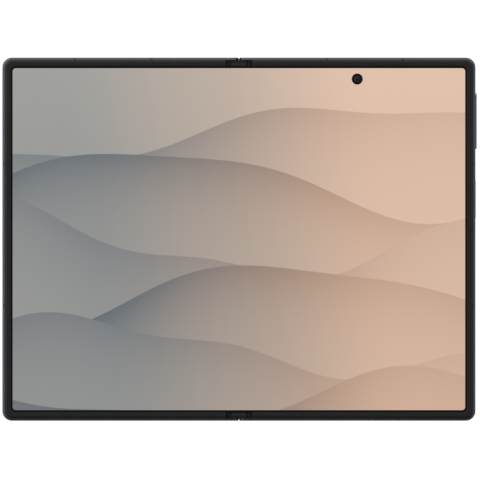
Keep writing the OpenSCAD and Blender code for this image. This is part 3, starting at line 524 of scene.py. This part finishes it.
def frosted_glass(name, tone):
    """Etched glass: a fine sparkling grain under a satin surface."""
    finish = Finish(name, specular_ior_level=0.5, ior=1.5)
    fine = finish.noise(14, 3, 0.8)
    cloud = finish.noise(0.03, 2)
    return finish.vary(
        base_color=finish.mix(finish.step(cloud, 0.3, 0.7), shade(tone, 0.95), shade(tone, 1.05)),
        metallic=0.35 + 0.2 * finish.step(fine, 0.45, 0.75),
        roughness=0.38 + 0.12 * (fine - 0.5),
        normal=finish.bump(fine, 0.006, 0.4),
    )


def picture(colours, sizes):
    """Lit screen: rolling dunes of soft light, one behind another, inside a black border.
    Each dune lies under a crest, a sum of two sine waves of x, and its shade is strongest
    under the crest, dies away exponentially down the slope and is weaker at the right."""
    finish = Finish("lit_picture", base_color=(0.002, 0.002, 0.002, 1), roughness=0.12,
                    specular_ior_level=0.2, emission_strength=1.0)
    corner = sizes.picture_corner / MM
    bezel = HALF_W - BEZEL_HIGH[0] + (sizes.bezel_slope + sizes.bezel_flat) / MM
    lit_x = HALF_W - bezel - sizes.border_side / MM
    lit_y = HALF_L - bezel - sizes.border_end / MM
    haze, glow = (0.75, 0.7, 0.66), (0.8, 0.75, 0.7)
    u, v = finish.x / lit_x, finish.y / lit_y
    warm = u + 0.12 * v
    tone = finish.mix(finish.step(warm, -0.7, 0.0), colours.picture_left, colours.picture_middle)
    tone = finish.mix(finish.step(warm, -0.12, 0.7), tone, colours.picture_right)
    dark = finish.mix(finish.step(u, -0.6, 0.7), colours.shade_left, colours.shade_right)
    tone = finish.mix(finish.step(v, 0.8, -1.1) * 0.14, tone, dark)
    result = finish.mix(finish.step(v, 0.2, 1.6) * 0.1, tone, haze)
    calm = 1 - 0.4 * finish.step(u, 0.1, 0.9)
    # level, two waves as (height, turns, offset), depth of the shade, its reach, brightness
    dunes = (
        (0.62, (0.16, 2.1, 0.4), (0.04, 6.0, 1.0), 0.55, 0.34, 0.03),
        (0.34, (0.20, 2.6, 2.6), (0.05, 5.2, 0.2), 0.75, 0.30, 0.0),
        (0.02, (0.22, 2.2, 4.4), (0.05, 6.6, 2.2), 0.60, 0.42, 0.05),
        (-0.30, (0.18, 2.9, 0.9), (0.06, 5.0, 3.0), 0.80, 0.32, 0.0),
        (-0.62, (0.16, 2.4, 3.4), (0.04, 7.0, 1.4), 0.60, 0.36, 0.03),
        (-0.92, (0.14, 2.7, 5.6), (0.05, 5.6, 4.0), 0.70, 0.40, 0.0),
    )
    for level, wave, ripple, depth, reach, light in dunes:
        crest = level + wave[0] * finish.maths("SINE", u * wave[1] + wave[2])
        crest = crest + ripple[0] * finish.maths("SINE", u * ripple[1] + ripple[2])
        under = crest - v
        fade = finish.maths("EXPONENT", finish.maths("MAXIMUM", under, 0.0) * (-1 / reach))
        slope = finish.mix(fade * depth * calm, tone, dark)
        slope = finish.mix(light, slope, glow)
        result = finish.mix(finish.step(under, 0.0, 0.006), result, slope)
    edge = finish.outside(finish.x, finish.y, lit_x - corner, lit_y - corner)
    lit = finish.step(edge, corner + 0.05, corner - 0.05)
    return finish.vary(emission_color=finish.mix(lit, (0, 0, 0), result))


def eye_glass(name, centre, radius, pupil, tint):
    """A small camera behind glass: black ring, grey iris and a faint coloured coating."""
    finish = Finish(name, specular_ior_level=0.1, coat_roughness=0.03)
    away = finish.away(centre) / radius
    rings = 0.5 + 0.5 * finish.maths("SINE", away * 60.0)
    iris = finish.mix(finish.step(away, pupil * 0.45, pupil * 0.95), tint, (0.012, 0.012, 0.014))
    iris = finish.mix(finish.step(rings, 0.55, 0.9) * 0.3, iris, (0.02, 0.02, 0.024))
    iris = finish.mix(finish.step(away, 0.16, 0.2), (0.002, 0.002, 0.004), iris)
    return finish.vary(
        base_color=finish.mix(finish.step(away, pupil * 0.97, pupil * 1.02), iris, (0.002,) * 3),
        roughness=0.08 + 0.12 * finish.step(finish.noise(3.0), 0.4, 0.7),
        coat_weight=finish.step(away, pupil * 1.05, pupil * 0.95),
    )


def lens_glass(centres, radius):
    """Rear lens: black rim, machined rings inside it and a coated front element."""
    finish = Finish("lens_glass", specular_ior_level=0.6, coat_roughness=0.02)
    first, second = (finish.away(centre) for centre in centres)
    away = finish.maths("MINIMUM", first, second) / radius
    blue = finish.mix(finish.step(away, 0.05, 0.42), (0.01, 0.03, 0.055), (0.04, 0.015, 0.05))
    front = finish.mix(finish.step(away, 0.3, 0.47), blue, (0.006, 0.007, 0.009))
    grooves = finish.step(finish.maths("SINE", away * 150.0), -0.3, 0.6)
    barrel = finish.mix(grooves, (0.006, 0.006, 0.007), (0.02, 0.02, 0.022))
    inner = finish.mix(finish.step(away, 0.47, 0.49), front, barrel)
    in_barrel = finish.step(away, 0.47, 0.49) * finish.step(away, 0.78, 0.76)
    return finish.vary(
        base_color=finish.mix(finish.step(away, 0.76, 0.78), inner, (0.003, 0.003, 0.004)),
        roughness=0.05 + 0.28 * in_barrel + 0.03 * finish.noise(4.0),
        coat_weight=1 - finish.step(away, 0.45, 0.5),
    )


def flash_glass(centre, radius, pitch):
    """Ribbed lens over a warm phosphor square."""
    finish = Finish("flash_glass", specular_ior_level=0.6, coat_weight=0.6)
    away = finish.away(centre)
    square = finish.maths("MAXIMUM", abs(finish.x - centre[0]), abs(finish.y - centre[1]))
    core = finish.mix(finish.step(square, 0.55, 0.75), srgb(240, 214, 120), srgb(226, 224, 214))
    rib = finish.step(finish.maths("SINE", away * (2 * math.pi / pitch)), -0.6, 0.8)
    tone = finish.mix(rib * 0.35, core, srgb(150, 148, 138))
    return finish.vary(
        base_color=finish.mix(finish.step(away, radius - 0.22, radius - 0.12), tone, (0.04,) * 3),
        roughness=0.12 + 0.1 * finish.noise(6.0),
    )


def cover_screen_glass(name, centre):
    """Black glass of the outer screen: the switched-off panel shows a little inside its border,
    a rectangle with round corners that leaves out a ring round the camera."""
    finish = Finish(name, specular_ior_level=0.5, ior=1.5)
    middle, half_w, half_l, corner, ring = 41.0, 36.0, 57.0, 1.5, 2.2
    edge = finish.outside(abs(finish.x) - middle, finish.y, half_w, half_l)
    away = finish.away(centre)
    panel = finish.step(edge, corner + 0.15, corner) * finish.step(away, ring, ring + 0.15)
    smear = finish.noise(1.0, 3, stretch=(0.05, 0.02, 1))
    return finish.vary(
        base_color=finish.mix(panel, (0.0035, 0.0035, 0.004), (0.0065, 0.007, 0.008)),
        roughness=0.045 + 0.03 * smear + 0.02 * panel,
    )


def circuit_board(name):
    """Green board with copper tracks under the resist and gold pads."""
    finish = Finish(name, specular_ior_level=0.5)
    tracks = finish.noise(1.0, 5, 0.7, stretch=(0.6, 2.4, 1))
    raised = finish.step(tracks, 0.5, 0.54)
    across, along = (finish.maths("SINE", place * 2.9) for place in (finish.x, finish.y))
    pads = finish.step(across * along, 0.8, 0.86)
    green = finish.mix(raised, (0.006, 0.035, 0.018), (0.012, 0.07, 0.03))
    return finish.vary(
        base_color=finish.mix(pads, green, (0.5, 0.34, 0.1)),
        metallic=pads,
        roughness=0.35 - 0.1 * pads,
        normal=finish.bump(raised, 0.02, 0.5),
    )


def battery_wrap(name):
    """Matt grey pouch foil with a slight crease pattern."""
    finish = Finish(name, specular_ior_level=0.4)
    creases = finish.noise(1.0, 4, 0.6, stretch=(0.3, 0.08, 1))
    return finish.vary(
        base_color=finish.mix(creases, (0.03, 0.03, 0.033), (0.055, 0.055, 0.06)),
        metallic=0.3 + 0.2 * creases,
        roughness=0.4 + 0.2 * creases,
        normal=finish.bump(creases, 0.05, 0.4),
    )


def wound_copper(name, centre):
    """Flat coil: round turns of lacquered wire."""
    finish = Finish(name, metallic=1.0)
    turns = 0.5 + 0.5 * finish.maths("SINE", finish.away(centre) * 8.0)
    return finish.vary(
        base_color=finish.mix(turns, (0.25, 0.09, 0.04), (0.75, 0.33, 0.16)),
        roughness=0.25 + 0.25 * (1 - turns),
        normal=finish.bump(turns, 0.05, 0.8),
    )


# ---- Pieces ----

def make_screens(sizes, colours):
    """The halves of the flexible screen: flat plates from the fold to the outer edge,
    thinner and shorter where they bend."""
    finish = picture(colours, sizes)
    eye = sum(node_box("inner_camera_window"))[:2] / 2
    half_l, turn = SCREEN_HIGH[1], SCREEN_HIGH[0] - SCREEN_R

    def half_height(x):
        """Half length at x: the fold zone's, and past it the screen's with its round corner."""
        in_fold = x < (FOLD_W + SCREEN_LOW[0]) / 2
        return np.where(in_fold, FOLD_L, rounded(x, turn, SCREEN_R, half_l))

    runs = [(FOLD_W, 28), (SCREEN_LOW[0], 1), (eye[0] - EYE_PATCH, 6), (eye[0] + EYE_PATCH, 16),
            (turn, 6)]
    columns = np.concatenate([spaced(0, *runs), corner_lines(turn, SCREEN_R, 10)])
    below, above = (eye[1] - EYE_PATCH) / half_l, (eye[1] + EYE_PATCH) / half_l
    rows = spaced(-1, (0, 6), (below, 6), (above, 16), (1, 2))
    for half, body, toward in HALVES:
        mirror, cad = toward < 0, "display_" + half
        hole = None if mirror else (*eye, EYE_R, EYE_PATCH)
        points, faces = plan(columns, rows, half_height, hole)
        thin = SCREEN_HIGH[2] - sizes.panel / MM
        under = np.where(points[:, 0] < SCREEN_LOW[0] - 0.01, thin, SCREEN_LOW[2])
        shell = slab(points, faces, under, SCREEN_HIGH[2])
        made = piece("screen_" + half, [shell], [finish], toward)
        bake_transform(made)
        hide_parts(cad, *(["display_fold"] if not mirror else []))


def make_bezels(sizes, colours):
    """Raised rims round the screen halves: one softened section carried round three edges.
    The corner's radius shrinks with the depth from the outer face, so the outside
    follows the frame and the inside keeps a rounder corner."""
    finish = soft_plastic("bezel_plastic", colours.bezel, 0.46, 0.012, 12.0)
    outer = HALF_W - BEZEL_HIGH[0]
    seat, top, screen = BEZEL_LOW[2], BEZEL_HIGH[2], SCREEN_HIGH[2]
    slope, flat, tuck = sizes.bezel_slope / MM, sizes.bezel_flat / MM, 1.1
    inner = outer + slope + flat
    section = softened([
        (outer, seat), (outer, FRAME_TOP), (outer + slope, top), (inner, top),
        (inner, screen), (inner - tuck, screen), (inner - tuck, seat),
    ], sizes.bezel_edge / MM, sizes.steps)
    depth, height = section.T
    radius = np.interp(depth, [0, outer + slope, inner], [OUTER_R, OUTER_R - outer - slope, SCREEN_R])
    angle = np.linspace(np.pi / 2, 0, 15)[:, None]
    x, y = HALF_W - depth - radius, HALF_L - depth - radius
    corner = spread(x + radius * np.cos(angle), y + radius * np.sin(angle), height)
    start = spread(BEZEL_LOW[0], HALF_L - depth, height)
    upper = np.concatenate([start[None], corner])
    lower = upper[::-1] * (1, -1, 1)
    shell = loft(np.concatenate([upper, lower]))
    for half, body, toward in HALVES:
        mirror = toward < 0
        made = piece("bezel_" + half, [shell], [finish], toward)
        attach(made, body)
        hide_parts("left_bezel" if mirror else "right_bezel")


def make_keys(sizes, colours):
    """The volume key and the power key: slots with round ends, a quarter-round outer edge
    and a face that swells by a parabola to its long middle line."""
    # The keys use the frame metal made 2.1 times lighter: painted light, as if their faces caught
    # more light
    finish = anodised_metal("key_metal_painted_light", shade(colours.metal, 2.1))
    for name, cad, body in (("volume_rocker_key", "volume_key", "volume_rocker"),
                            ("power_button_key", "power_key", "power_button")):
        low, high = node_box(cad)
        flange = 0.35
        long, tall = (high - low)[1:] - 2 * flange
        middle_y, middle_z = (low + high)[1:] / 2
        crown = sizes.key_crown / MM
        edge = min(sizes.key_edge / MM, 0.9 * (high[0] - HALF_W - crown) + 0.05)
        face = high[0] - crown
        turn = np.linspace(0, np.pi / 2, 7)
        share = np.linspace(0, 1, 7)[1:]
        inset = np.concatenate([[0], edge * (1 - np.cos(turn)), edge + (tall / 2 - edge) * share])
        reach = np.concatenate([
            [low[0]], face - edge + edge * np.sin(turn), face + crown * (1 - (1 - share) ** 2)])
        outline = np.stack([pill(long - 2 * e, max(tall - 2 * e, 1e-4)) for e in inset])
        loops = spread(reach[:, None], middle_y + outline[..., 0], middle_z + outline[..., 1])
        made = piece(name, [loft(loops)], [finish])
        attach(made, body)
        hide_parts(cad)


def camera_eye(name, centre, radius, front, back, body, cad, tint):
    """A camera under glass, turned about its axis: a flat ring, a step and a shallow dome."""
    into = 1 if back > front else -1
    pupil, dip, swell = 0.68, 0.03, 0.08
    share = np.linspace(0, 1, 9)
    dome = [(radius * (pupil - 0.03) * s, front + into * (dip + swell * s * s)) for s in share]
    rim = [(radius * pupil, front + into * 0.012), (radius * (pupil + 0.02), front),
           (radius - 0.05, front), (radius, front + into * 0.05)]
    shell = turned([(0.0, dome[0][1]), *dome[1:], *rim, (radius, back), (0.0, back)], centre, 72)
    finish = eye_glass(name + "_glass", centre, radius, pupil, tint)
    made = piece(name, [shell], [finish])
    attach(made, body)
    if cad:
        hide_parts(cad)


def make_end_seals():
    """The rubber fin at each end of the hinge, closing the gap between the halves: a
    rounded rectangle in x and y, carried up in z and narrowed at its top."""
    half, inner = 0.08, node_box("hinge_end_caps")[1][1] - 0.01
    outer = inner + 0.71
    x, y = softened([(-half, inner), (half, inner), (half, outer), (-half, outer)], 0.05, 4).T
    share, height = np.array([(1, 3.0), (1, 3.64), (0.6, 3.7)]).T[..., None]
    points, faces = loft(spread(x * share, y, height))
    rubber = soft_plastic("seal_rubber", (0.008, 0.008, 0.009), 0.5)
    shells = [(points, faces), (points * (1, -1, 1), faces)]
    made = piece("end_seals", shells, [rubber])
    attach(made, "spine")


def make_rear_lenses(centres, radius):
    """The rear lenses, turned sections: a dome, four steps that climb round it and a flat rim."""
    low, high = node_box("camera_windows")
    face, back = low[2], high[2] + 0.06
    barrel, wall, count, climb = 5.1, radius - 0.005, 4, 0.09
    shells = []
    for centre, element in zip(centres, (2.7, 3.3)):
        dome = [(element * s, face + 0.12 + 0.2 * s * s) for s in np.linspace(0, 1, 10)]
        first, steps = element + 0.25, []
        for k in range(count):
            inner = first + k * (barrel - first) / count
            depth = face + 0.4 - k * climb
            steps += [(inner, depth), (inner + 0.06, depth - climb / 2)]
        rim = [(barrel + 0.02, face + 0.06), (barrel + 0.12, face), (radius - 0.04, face),
               (wall, face + 0.04), (wall, back), (0.0, back)]
        shells.append(turned([*dome, (element + 0.12, face + 0.36), *steps, *rim], centre, 96))
    made = piece("rear_lenses", shells, [lens_glass(centres, radius)])
    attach(made, "right_half")
    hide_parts("camera_windows")


def make_lens_rings(sizes, centres, radius):
    """The metal rings round the rear lenses: a section with two chamfers, turned."""
    low, high = node_box("camera_rings")
    outer = (high[1] - low[1]) / 2
    edge = sizes.ring_edge / MM
    section = softened([
        (radius, high[2]), (radius, low[2] + edge), (radius + edge, low[2]),
        (outer - edge, low[2]), (outer, low[2] + edge), (outer, high[2]),
    ], 0.05, 4)
    metal = turned_metal("ring_metal", srgb(150, 153, 162), 0.18, (1, 1, 20))
    rings = [turned(section, centre, 128, ring=True) for centre in centres]
    made = piece("lens_rings", rings, [metal])
    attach(made, "right_half")
    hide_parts("camera_rings")


def make_flash(sizes):
    """The flash lens, a turned section whose face rises and falls as a cosine of the radius."""
    low, high = node_box("flash_lens")
    centre, radius = (low + high)[:2] / 2, (high[0] - low[0]) / 2
    pitch, sunk, height = sizes.rib_pitch / MM, 0.05, 0.03
    away = np.linspace(0, radius - 0.12, 60)
    ribs = low[2] + sunk + height * np.cos(2 * np.pi * away / pitch)
    profile = [*zip(away, ribs), (radius - 0.08, low[2]), (radius - 0.02, low[2]),
               (radius, low[2] + 0.03), (radius, high[2]), (0.0, high[2])]
    finish = flash_glass(centre, radius, pitch)
    made = piece("flash_window", [turned(profile, centre, 64)], [finish])
    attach(made, "right_half")
    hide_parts("flash_lens")


def make_cover_glass(sizes):
    """The outer screen's glass, with a hole for its camera and softened edges."""
    low, high = node_box("cover_glass")
    half_l, corner = high[1], 2.3
    turn = -low[0] - corner
    eye = (-COVER_EYE[0], COVER_EYE[1])
    runs = [(eye[0] - EYE_PATCH, 8), (eye[0] + EYE_PATCH, 16), (turn, 8)]
    columns = np.concatenate([spaced(-high[0], *runs), corner_lines(turn, corner, 12)])
    below, above = (eye[1] - EYE_PATCH) / half_l, (eye[1] + EYE_PATCH) / half_l
    rows = spaced(-1, (below, 10), (above, 16), (1, 3))
    flat = plan(columns, rows, lambda x: rounded(x, turn, corner, half_l), (*eye, EYE_R, EYE_PATCH))
    finish = cover_screen_glass("outer_glass_black", COVER_EYE)
    made = piece("outer_glass", [slab(*flat, low[2], high[2])], [finish], -1)
    bevel = made.modifiers.new("Soft edge", "BEVEL")
    bevel.width = sizes.glass_edge
    bevel.segments = 3
    bevel.limit_method = "ANGLE"
    bevel.angle_limit = math.radians(60)
    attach(made, "left_half")
    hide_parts("cover_glass")
    camera_eye("outer_camera_eye", COVER_EYE, EYE_R - 0.02, low[2] + 0.02, high[2], "left_half",
               None, (0.02, 0.03, 0.05))


def make_contacts():
    """Gold contacts in two rows, above and below the socket's tongue, a box for each."""
    low, high = node_box("usb_tongue")
    middle_x = (low[0] + high[0]) / 2
    middle_z = sum(node_box("usb_shell"))[2] / 2
    front, back = low[1] + 0.35, high[1] - 1.2
    count, pitch, half_w, half_t, height = 12, 0.5, 0.13, 0.02, 0.352
    ends = np.array([-1.0, 1.0])
    box, faces = slab(*plan(ends * half_w, ends * (back - front) / 2, np.ones_like), -half_t, half_t)
    row = middle_x + (np.arange(count) - (count - 1) / 2) * pitch
    shells = [(box + (x, (front + back) / 2, middle_z + z), faces)
              for x in row for z in (-height, height)]
    gold = turned_metal("contact_gold", (0.8, 0.55, 0.2), 0.2)
    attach(piece("usb_contacts", shells, [gold]), "right_half")


def make_speaker_meshes():
    """The meshes behind the loudspeaker holes: plates whose outer face swells
    by a cosine of x times one of z."""
    half_l, half_h, waves, middle_x, middle_z = 7, 0.85, 9.0, HALF_W - 12.5, 3.5
    inner = HALF_L - 1.84
    columns, rows = np.linspace(-half_l, half_l, 141), np.linspace(-half_h, half_h, 18)
    flat, faces = plan(columns, rows, np.ones_like)
    thickness = 0.12 + 0.05 * np.prod(np.cos(flat * waves), 1)
    points, walls = slab(flat, faces, 0.0, thickness)
    across, up, out = points.T
    wire = turned_metal("mesh_wire", (0.03, 0.03, 0.033), 0.4)
    for name, (_, body, side) in zip(("bottom_speaker_mesh", "top_speaker_mesh"), HALVES):
        place = spread(across + side * middle_x, -side * (inner + out), up + middle_z)
        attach(piece(name, [(place, walls)], [wire]), body)


def make_fold_cable():
    """The flat cable under the fold, in two strips, one on each side of the fold."""
    low, high = node_box("fold_cable")
    finish = soft_plastic("cable_film", (0.32, 0.13, 0.03), 0.35, 0.01)
    columns = spaced(0, (min(SCREEN_LOW[0], high[0]), 24), (high[0], 2))
    flat = plan(columns, np.linspace(-1, 1, 5), lambda x: np.full_like(x, high[1]))
    shell = slab(*flat, low[2], high[2])
    for half, body, toward in HALVES:
        made = piece("cable_" + half, [shell], [finish], toward)
        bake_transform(made)
        if toward > 0:
            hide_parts("fold_cable")


def both(*parts):
    """The names of parts that each half has."""
    return [f"{half}_{part}" for part in parts for half, *_ in HALVES]


def dress_nodes(colours):
    """Gives every CAD node that still shows its finish."""
    finishes = {
        # Frame and spine: painted shade darkens their hollows beside the hinge
        anodised_metal("frame_metal", colours.metal, recess_shade=hinge_pocket_shade):
            (*both("frame"), "sim_tray"),
        anodised_metal("island_metal", shade(colours.metal, 0.8), 0.3): ("camera_island",),
        anodised_metal("spine_metal", colours.hinge, 0.26, recess_shade=spine_trough_shade):
            ("hinge_housing", "hinge_block_screws"),
        # End caps: painted shade darkens their outer rim
        soft_plastic("end_cap_black", colours.end_cap, 0.4, 0.01, 12.0, end_cap_rim_shade):
            ("hinge_end_caps",),
        soft_plastic("band_plastic", shade(colours.metal, 0.36), 0.42): both("antenna_bands"),
        frosted_glass("back_frosted_glass", colours.back): ("rear_glass",),
        soft_plastic("camera_black", (0.008, 0.008, 0.009), 0.45):
            ("main_camera", "wide_camera", "inner_camera", "cover_camera"),
        soft_plastic("panel_black", (0.006, 0.006, 0.007), 0.3): ("cover_display",),
        soft_plastic("socket_black", (0.01, 0.01, 0.011), 0.4):
            ("usb_tongue", "bottom_speaker", "top_speaker"),
        circuit_board("board_green"): ("main_board", "usb_board", "left_board"),
        battery_wrap("battery_foil"): both("battery"),
        wound_copper("coil_copper", sum(node_box("charging_coil"))[:2] / 2): ("charging_coil",),
        turned_metal("switch_gold", (0.7, 0.5, 0.22), 0.3): ("key_switches",),
        turned_metal("shield_steel", (0.5, 0.5, 0.52), 0.3):
            ("board_shields", "usb_shell", "sim_socket", "vibration_motor"),
        turned_metal("magnet_nickel", (0.36, 0.35, 0.33), 0.25): both("magnets"),
        turned_metal("hinge_steel", (0.42, 0.42, 0.44), 0.22, (12, 1, 12)): (
            *both("screws", "hinge_arms", "pinion_shafts", "disc_springs", "idler_gears"),
            "hinge_blocks", "display_support"),
    }
    for finish, names in finishes.items():
        for name in names:
            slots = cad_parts[name].data.materials
            slots.clear()
            slots.append(finish)


# ---- Stage ----

def make_floor(stage):
    """Pale paper that shines a little, just under the phone."""
    half, level = stage.floor_size / 2, -0.05 * MM
    mesh = bpy.data.meshes.new("floor")
    corners = [(-half, -half), (half, -half), (half, half), (-half, half)]
    mesh.from_pydata([(x, y, level) for x, y in corners], [], [[0, 1, 2, 3]])
    paper = Finish("floor_paper", specular_ior_level=0.1, roughness=0.9,
                   emission_color=(1, 1, 1, 1), emission_strength=stage.floor_glow)
    mesh.materials.append(paper.vary(
        base_color=paper.mix(paper.noise(0.01), (0.28,) * 3, (0.3,) * 3)))
    floor = placed("floor", mesh)


def area_light(name, watts, size, place):
    """A square light of a size in metres that looks at the middle of the phone."""
    lamp = bpy.data.lights.new(name, "AREA")
    lamp.energy, lamp.size = watts, size
    made = placed(name, lamp)
    made.location = place
    made.rotation_euler = made.location.to_track_quat("Z", "Y").to_euler()
    made.visible_camera = False


def make_sky(stage):
    """Grey light all round, which grows brighter towards the upper left."""
    world = bpy.data.worlds.new("studio")
    world.use_nodes = True
    sky = Nodes(world.node_tree)
    across, along, _ = sky.split(sky.node("ShaderNodeTexCoord", output="Generated"))
    bright = sky.step((along - across) * math.sqrt(0.5), -0.45, 1.0)
    strength = stage.sky_dark + (stage.sky_bright - stage.sky_dark) * bright
    light = sky.node("ShaderNodeBackground", values={"Color": (1, 1, 1, 1), "Strength": strength})
    sky.node("ShaderNodeOutputWorld", values={"Surface": light})
    bpy.context.scene.world = world


def make_camera(stage):
    """A long lens straight above the phone, so far off that the view's width fits its sensor."""
    lens = bpy.data.cameras.new("camera")
    lens.lens, lens.sensor_width = stage.lens, 36
    lens.clip_start, lens.clip_end = 0.1, 20
    distance = stage.view_width * lens.lens / lens.sensor_width
    aim_x, aim_y, aim_z = 0.376 * MM, -0.28 * MM, 4.5 * MM
    camera = placed("camera", lens)
    camera.location = (aim_x, aim_y, aim_z + distance)
    bpy.context.scene.camera = camera


def make_stage(stage):
    """Pale floor, three large lights, a soft sky and the camera straight above the phone."""
    make_floor(stage)
    area_light("key_light", stage.key_power, 1.4, (-1.3, 1.2, 1.5))
    area_light("fill_light", stage.fill_power, 1.2, (1.6, -0.2, 1.3))
    area_light("corner_light", stage.corner_power, 1.0, (1.1, 1.1, 0.9))
    make_sky(stage)
    make_camera(stage)
    bpy.context.scene.view_settings.view_transform = "Standard"
    bpy.context.scene.view_settings.look = "None"


# ---- Operators and panel ----

class PHONE_OT_screens(bpy.types.Operator):
    """Add the two halves of the folding screen"""

    bl_idname = "phone.screens"
    bl_label = "Add screens"

    def execute(self, context):
        make_screens(context.scene.phone_sizes, context.scene.phone_colours)
        return {"FINISHED"}


class PHONE_OT_bezels(bpy.types.Operator):
    """Add the raised rims round the screen halves"""

    bl_idname = "phone.bezels"
    bl_label = "Add bezels"

    def execute(self, context):
        make_bezels(context.scene.phone_sizes, context.scene.phone_colours)
        return {"FINISHED"}


class PHONE_OT_keys(bpy.types.Operator):
    """Add the volume key and the power key"""

    bl_idname = "phone.keys"
    bl_label = "Add keys"

    def execute(self, context):
        make_keys(context.scene.phone_sizes, context.scene.phone_colours)
        return {"FINISHED"}


class PHONE_OT_end_seals(bpy.types.Operator):
    """Add the fins that close the gap between the halves"""

    bl_idname = "phone.end_seals"
    bl_label = "Add end seals"

    def execute(self, context):
        make_end_seals()
        return {"FINISHED"}


class PHONE_OT_inner_camera(bpy.types.Operator):
    """Add the camera in the screen's round hole"""

    bl_idname = "phone.inner_camera"
    bl_label = "Add inner camera"

    def execute(self, context):
        low, high = node_box("inner_camera_window")
        centre = tuple((low + high)[:2] / 2)
        camera_eye("inner_camera_eye", centre, (high[0] - low[0]) / 2, high[2], low[2],
                   "right_half", "inner_camera_window", (0.007, 0.0075, 0.012))
        return {"FINISHED"}


class PHONE_OT_rear_cameras(bpy.types.Operator):
    """Add the rear lenses, their rings and the flash"""

    bl_idname = "phone.rear_cameras"
    bl_label = "Add rear cameras"

    def execute(self, context):
        low, high = node_box("camera_windows")
        radius = (high[1] - low[1]) / 2
        centres = [(low + radius)[:2], (high - radius)[:2]]
        make_rear_lenses(centres, radius)
        make_lens_rings(context.scene.phone_sizes, centres, radius)
        make_flash(context.scene.phone_sizes)
        return {"FINISHED"}


class PHONE_OT_cover_glass(bpy.types.Operator):
    """Add the outer screen's glass and its camera"""

    bl_idname = "phone.cover_glass"
    bl_label = "Add outer glass"

    def execute(self, context):
        make_cover_glass(context.scene.phone_sizes)
        return {"FINISHED"}


class PHONE_OT_sockets(bpy.types.Operator):
    """Add the socket's contacts and the loudspeaker meshes"""

    bl_idname = "phone.sockets"
    bl_label = "Add contacts and meshes"

    def execute(self, context):
        make_contacts()
        make_speaker_meshes()
        return {"FINISHED"}


class PHONE_OT_fold_cable(bpy.types.Operator):
    """Add the flat cable that crosses the hinge"""

    bl_idname = "phone.fold_cable"
    bl_label = "Add fold cable"

    def execute(self, context):
        make_fold_cable()
        return {"FINISHED"}


class PHONE_OT_finishes(bpy.types.Operator):
    """Give every part that comes from CAD its finish"""

    bl_idname = "phone.finishes"
    bl_label = "Dress the parts"

    def execute(self, context):
        dress_nodes(context.scene.phone_colours)
        return {"FINISHED"}


class PHONE_OT_stage(bpy.types.Operator):
    """Add the floor, the lights and the camera"""

    bl_idname = "phone.stage"
    bl_label = "Add stage"

    def execute(self, context):
        make_stage(context.scene.phone_stage)
        return {"FINISHED"}


OPERATORS = (
    PHONE_OT_screens, PHONE_OT_bezels, PHONE_OT_keys, PHONE_OT_end_seals, PHONE_OT_inner_camera,
    PHONE_OT_rear_cameras, PHONE_OT_cover_glass, PHONE_OT_sockets, PHONE_OT_fold_cable,
    PHONE_OT_finishes, PHONE_OT_stage,
)
GROUPS = {"phone_sizes": PhoneSizes, "phone_colours": PhoneColours, "phone_stage": PhoneStage}


class PHONE_PT_sidebar(bpy.types.Panel):
    """Sizes, colours and stage, with a button for each group of pieces"""

    bl_label = "Folding phone"
    bl_idname = "PHONE_PT_sidebar"
    bl_space_type = "VIEW_3D"
    bl_region_type = "UI"
    bl_category = "Phone"

    def draw(self, context):
        for name, group in GROUPS.items():
            box = self.layout.box()
            box.label(text=name.replace("_", " ").capitalize())
            for setting in group.__annotations__:
                box.prop(getattr(context.scene, name), setting)
        for operator in OPERATORS:
            self.layout.operator(operator.bl_idname)


CLASSES = (*GROUPS.values(), *OPERATORS, PHONE_PT_sidebar)


def register():
    for kind in CLASSES:
        bpy.utils.register_class(kind)
    for name, group in GROUPS.items():
        setattr(bpy.types.Scene, name, PointerProperty(type=group))


def unregister():
    for name in GROUPS:
        delattr(bpy.types.Scene, name)
    for kind in reversed(CLASSES):
        bpy.utils.unregister_class(kind)


def main():
    """Registers the add-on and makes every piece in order."""
    register()
    for operator in OPERATORS:
        group, _, call = operator.bl_idname.partition(".")
        getattr(getattr(bpy.ops, group), call)()


if __name__ == "__main__":
    main()
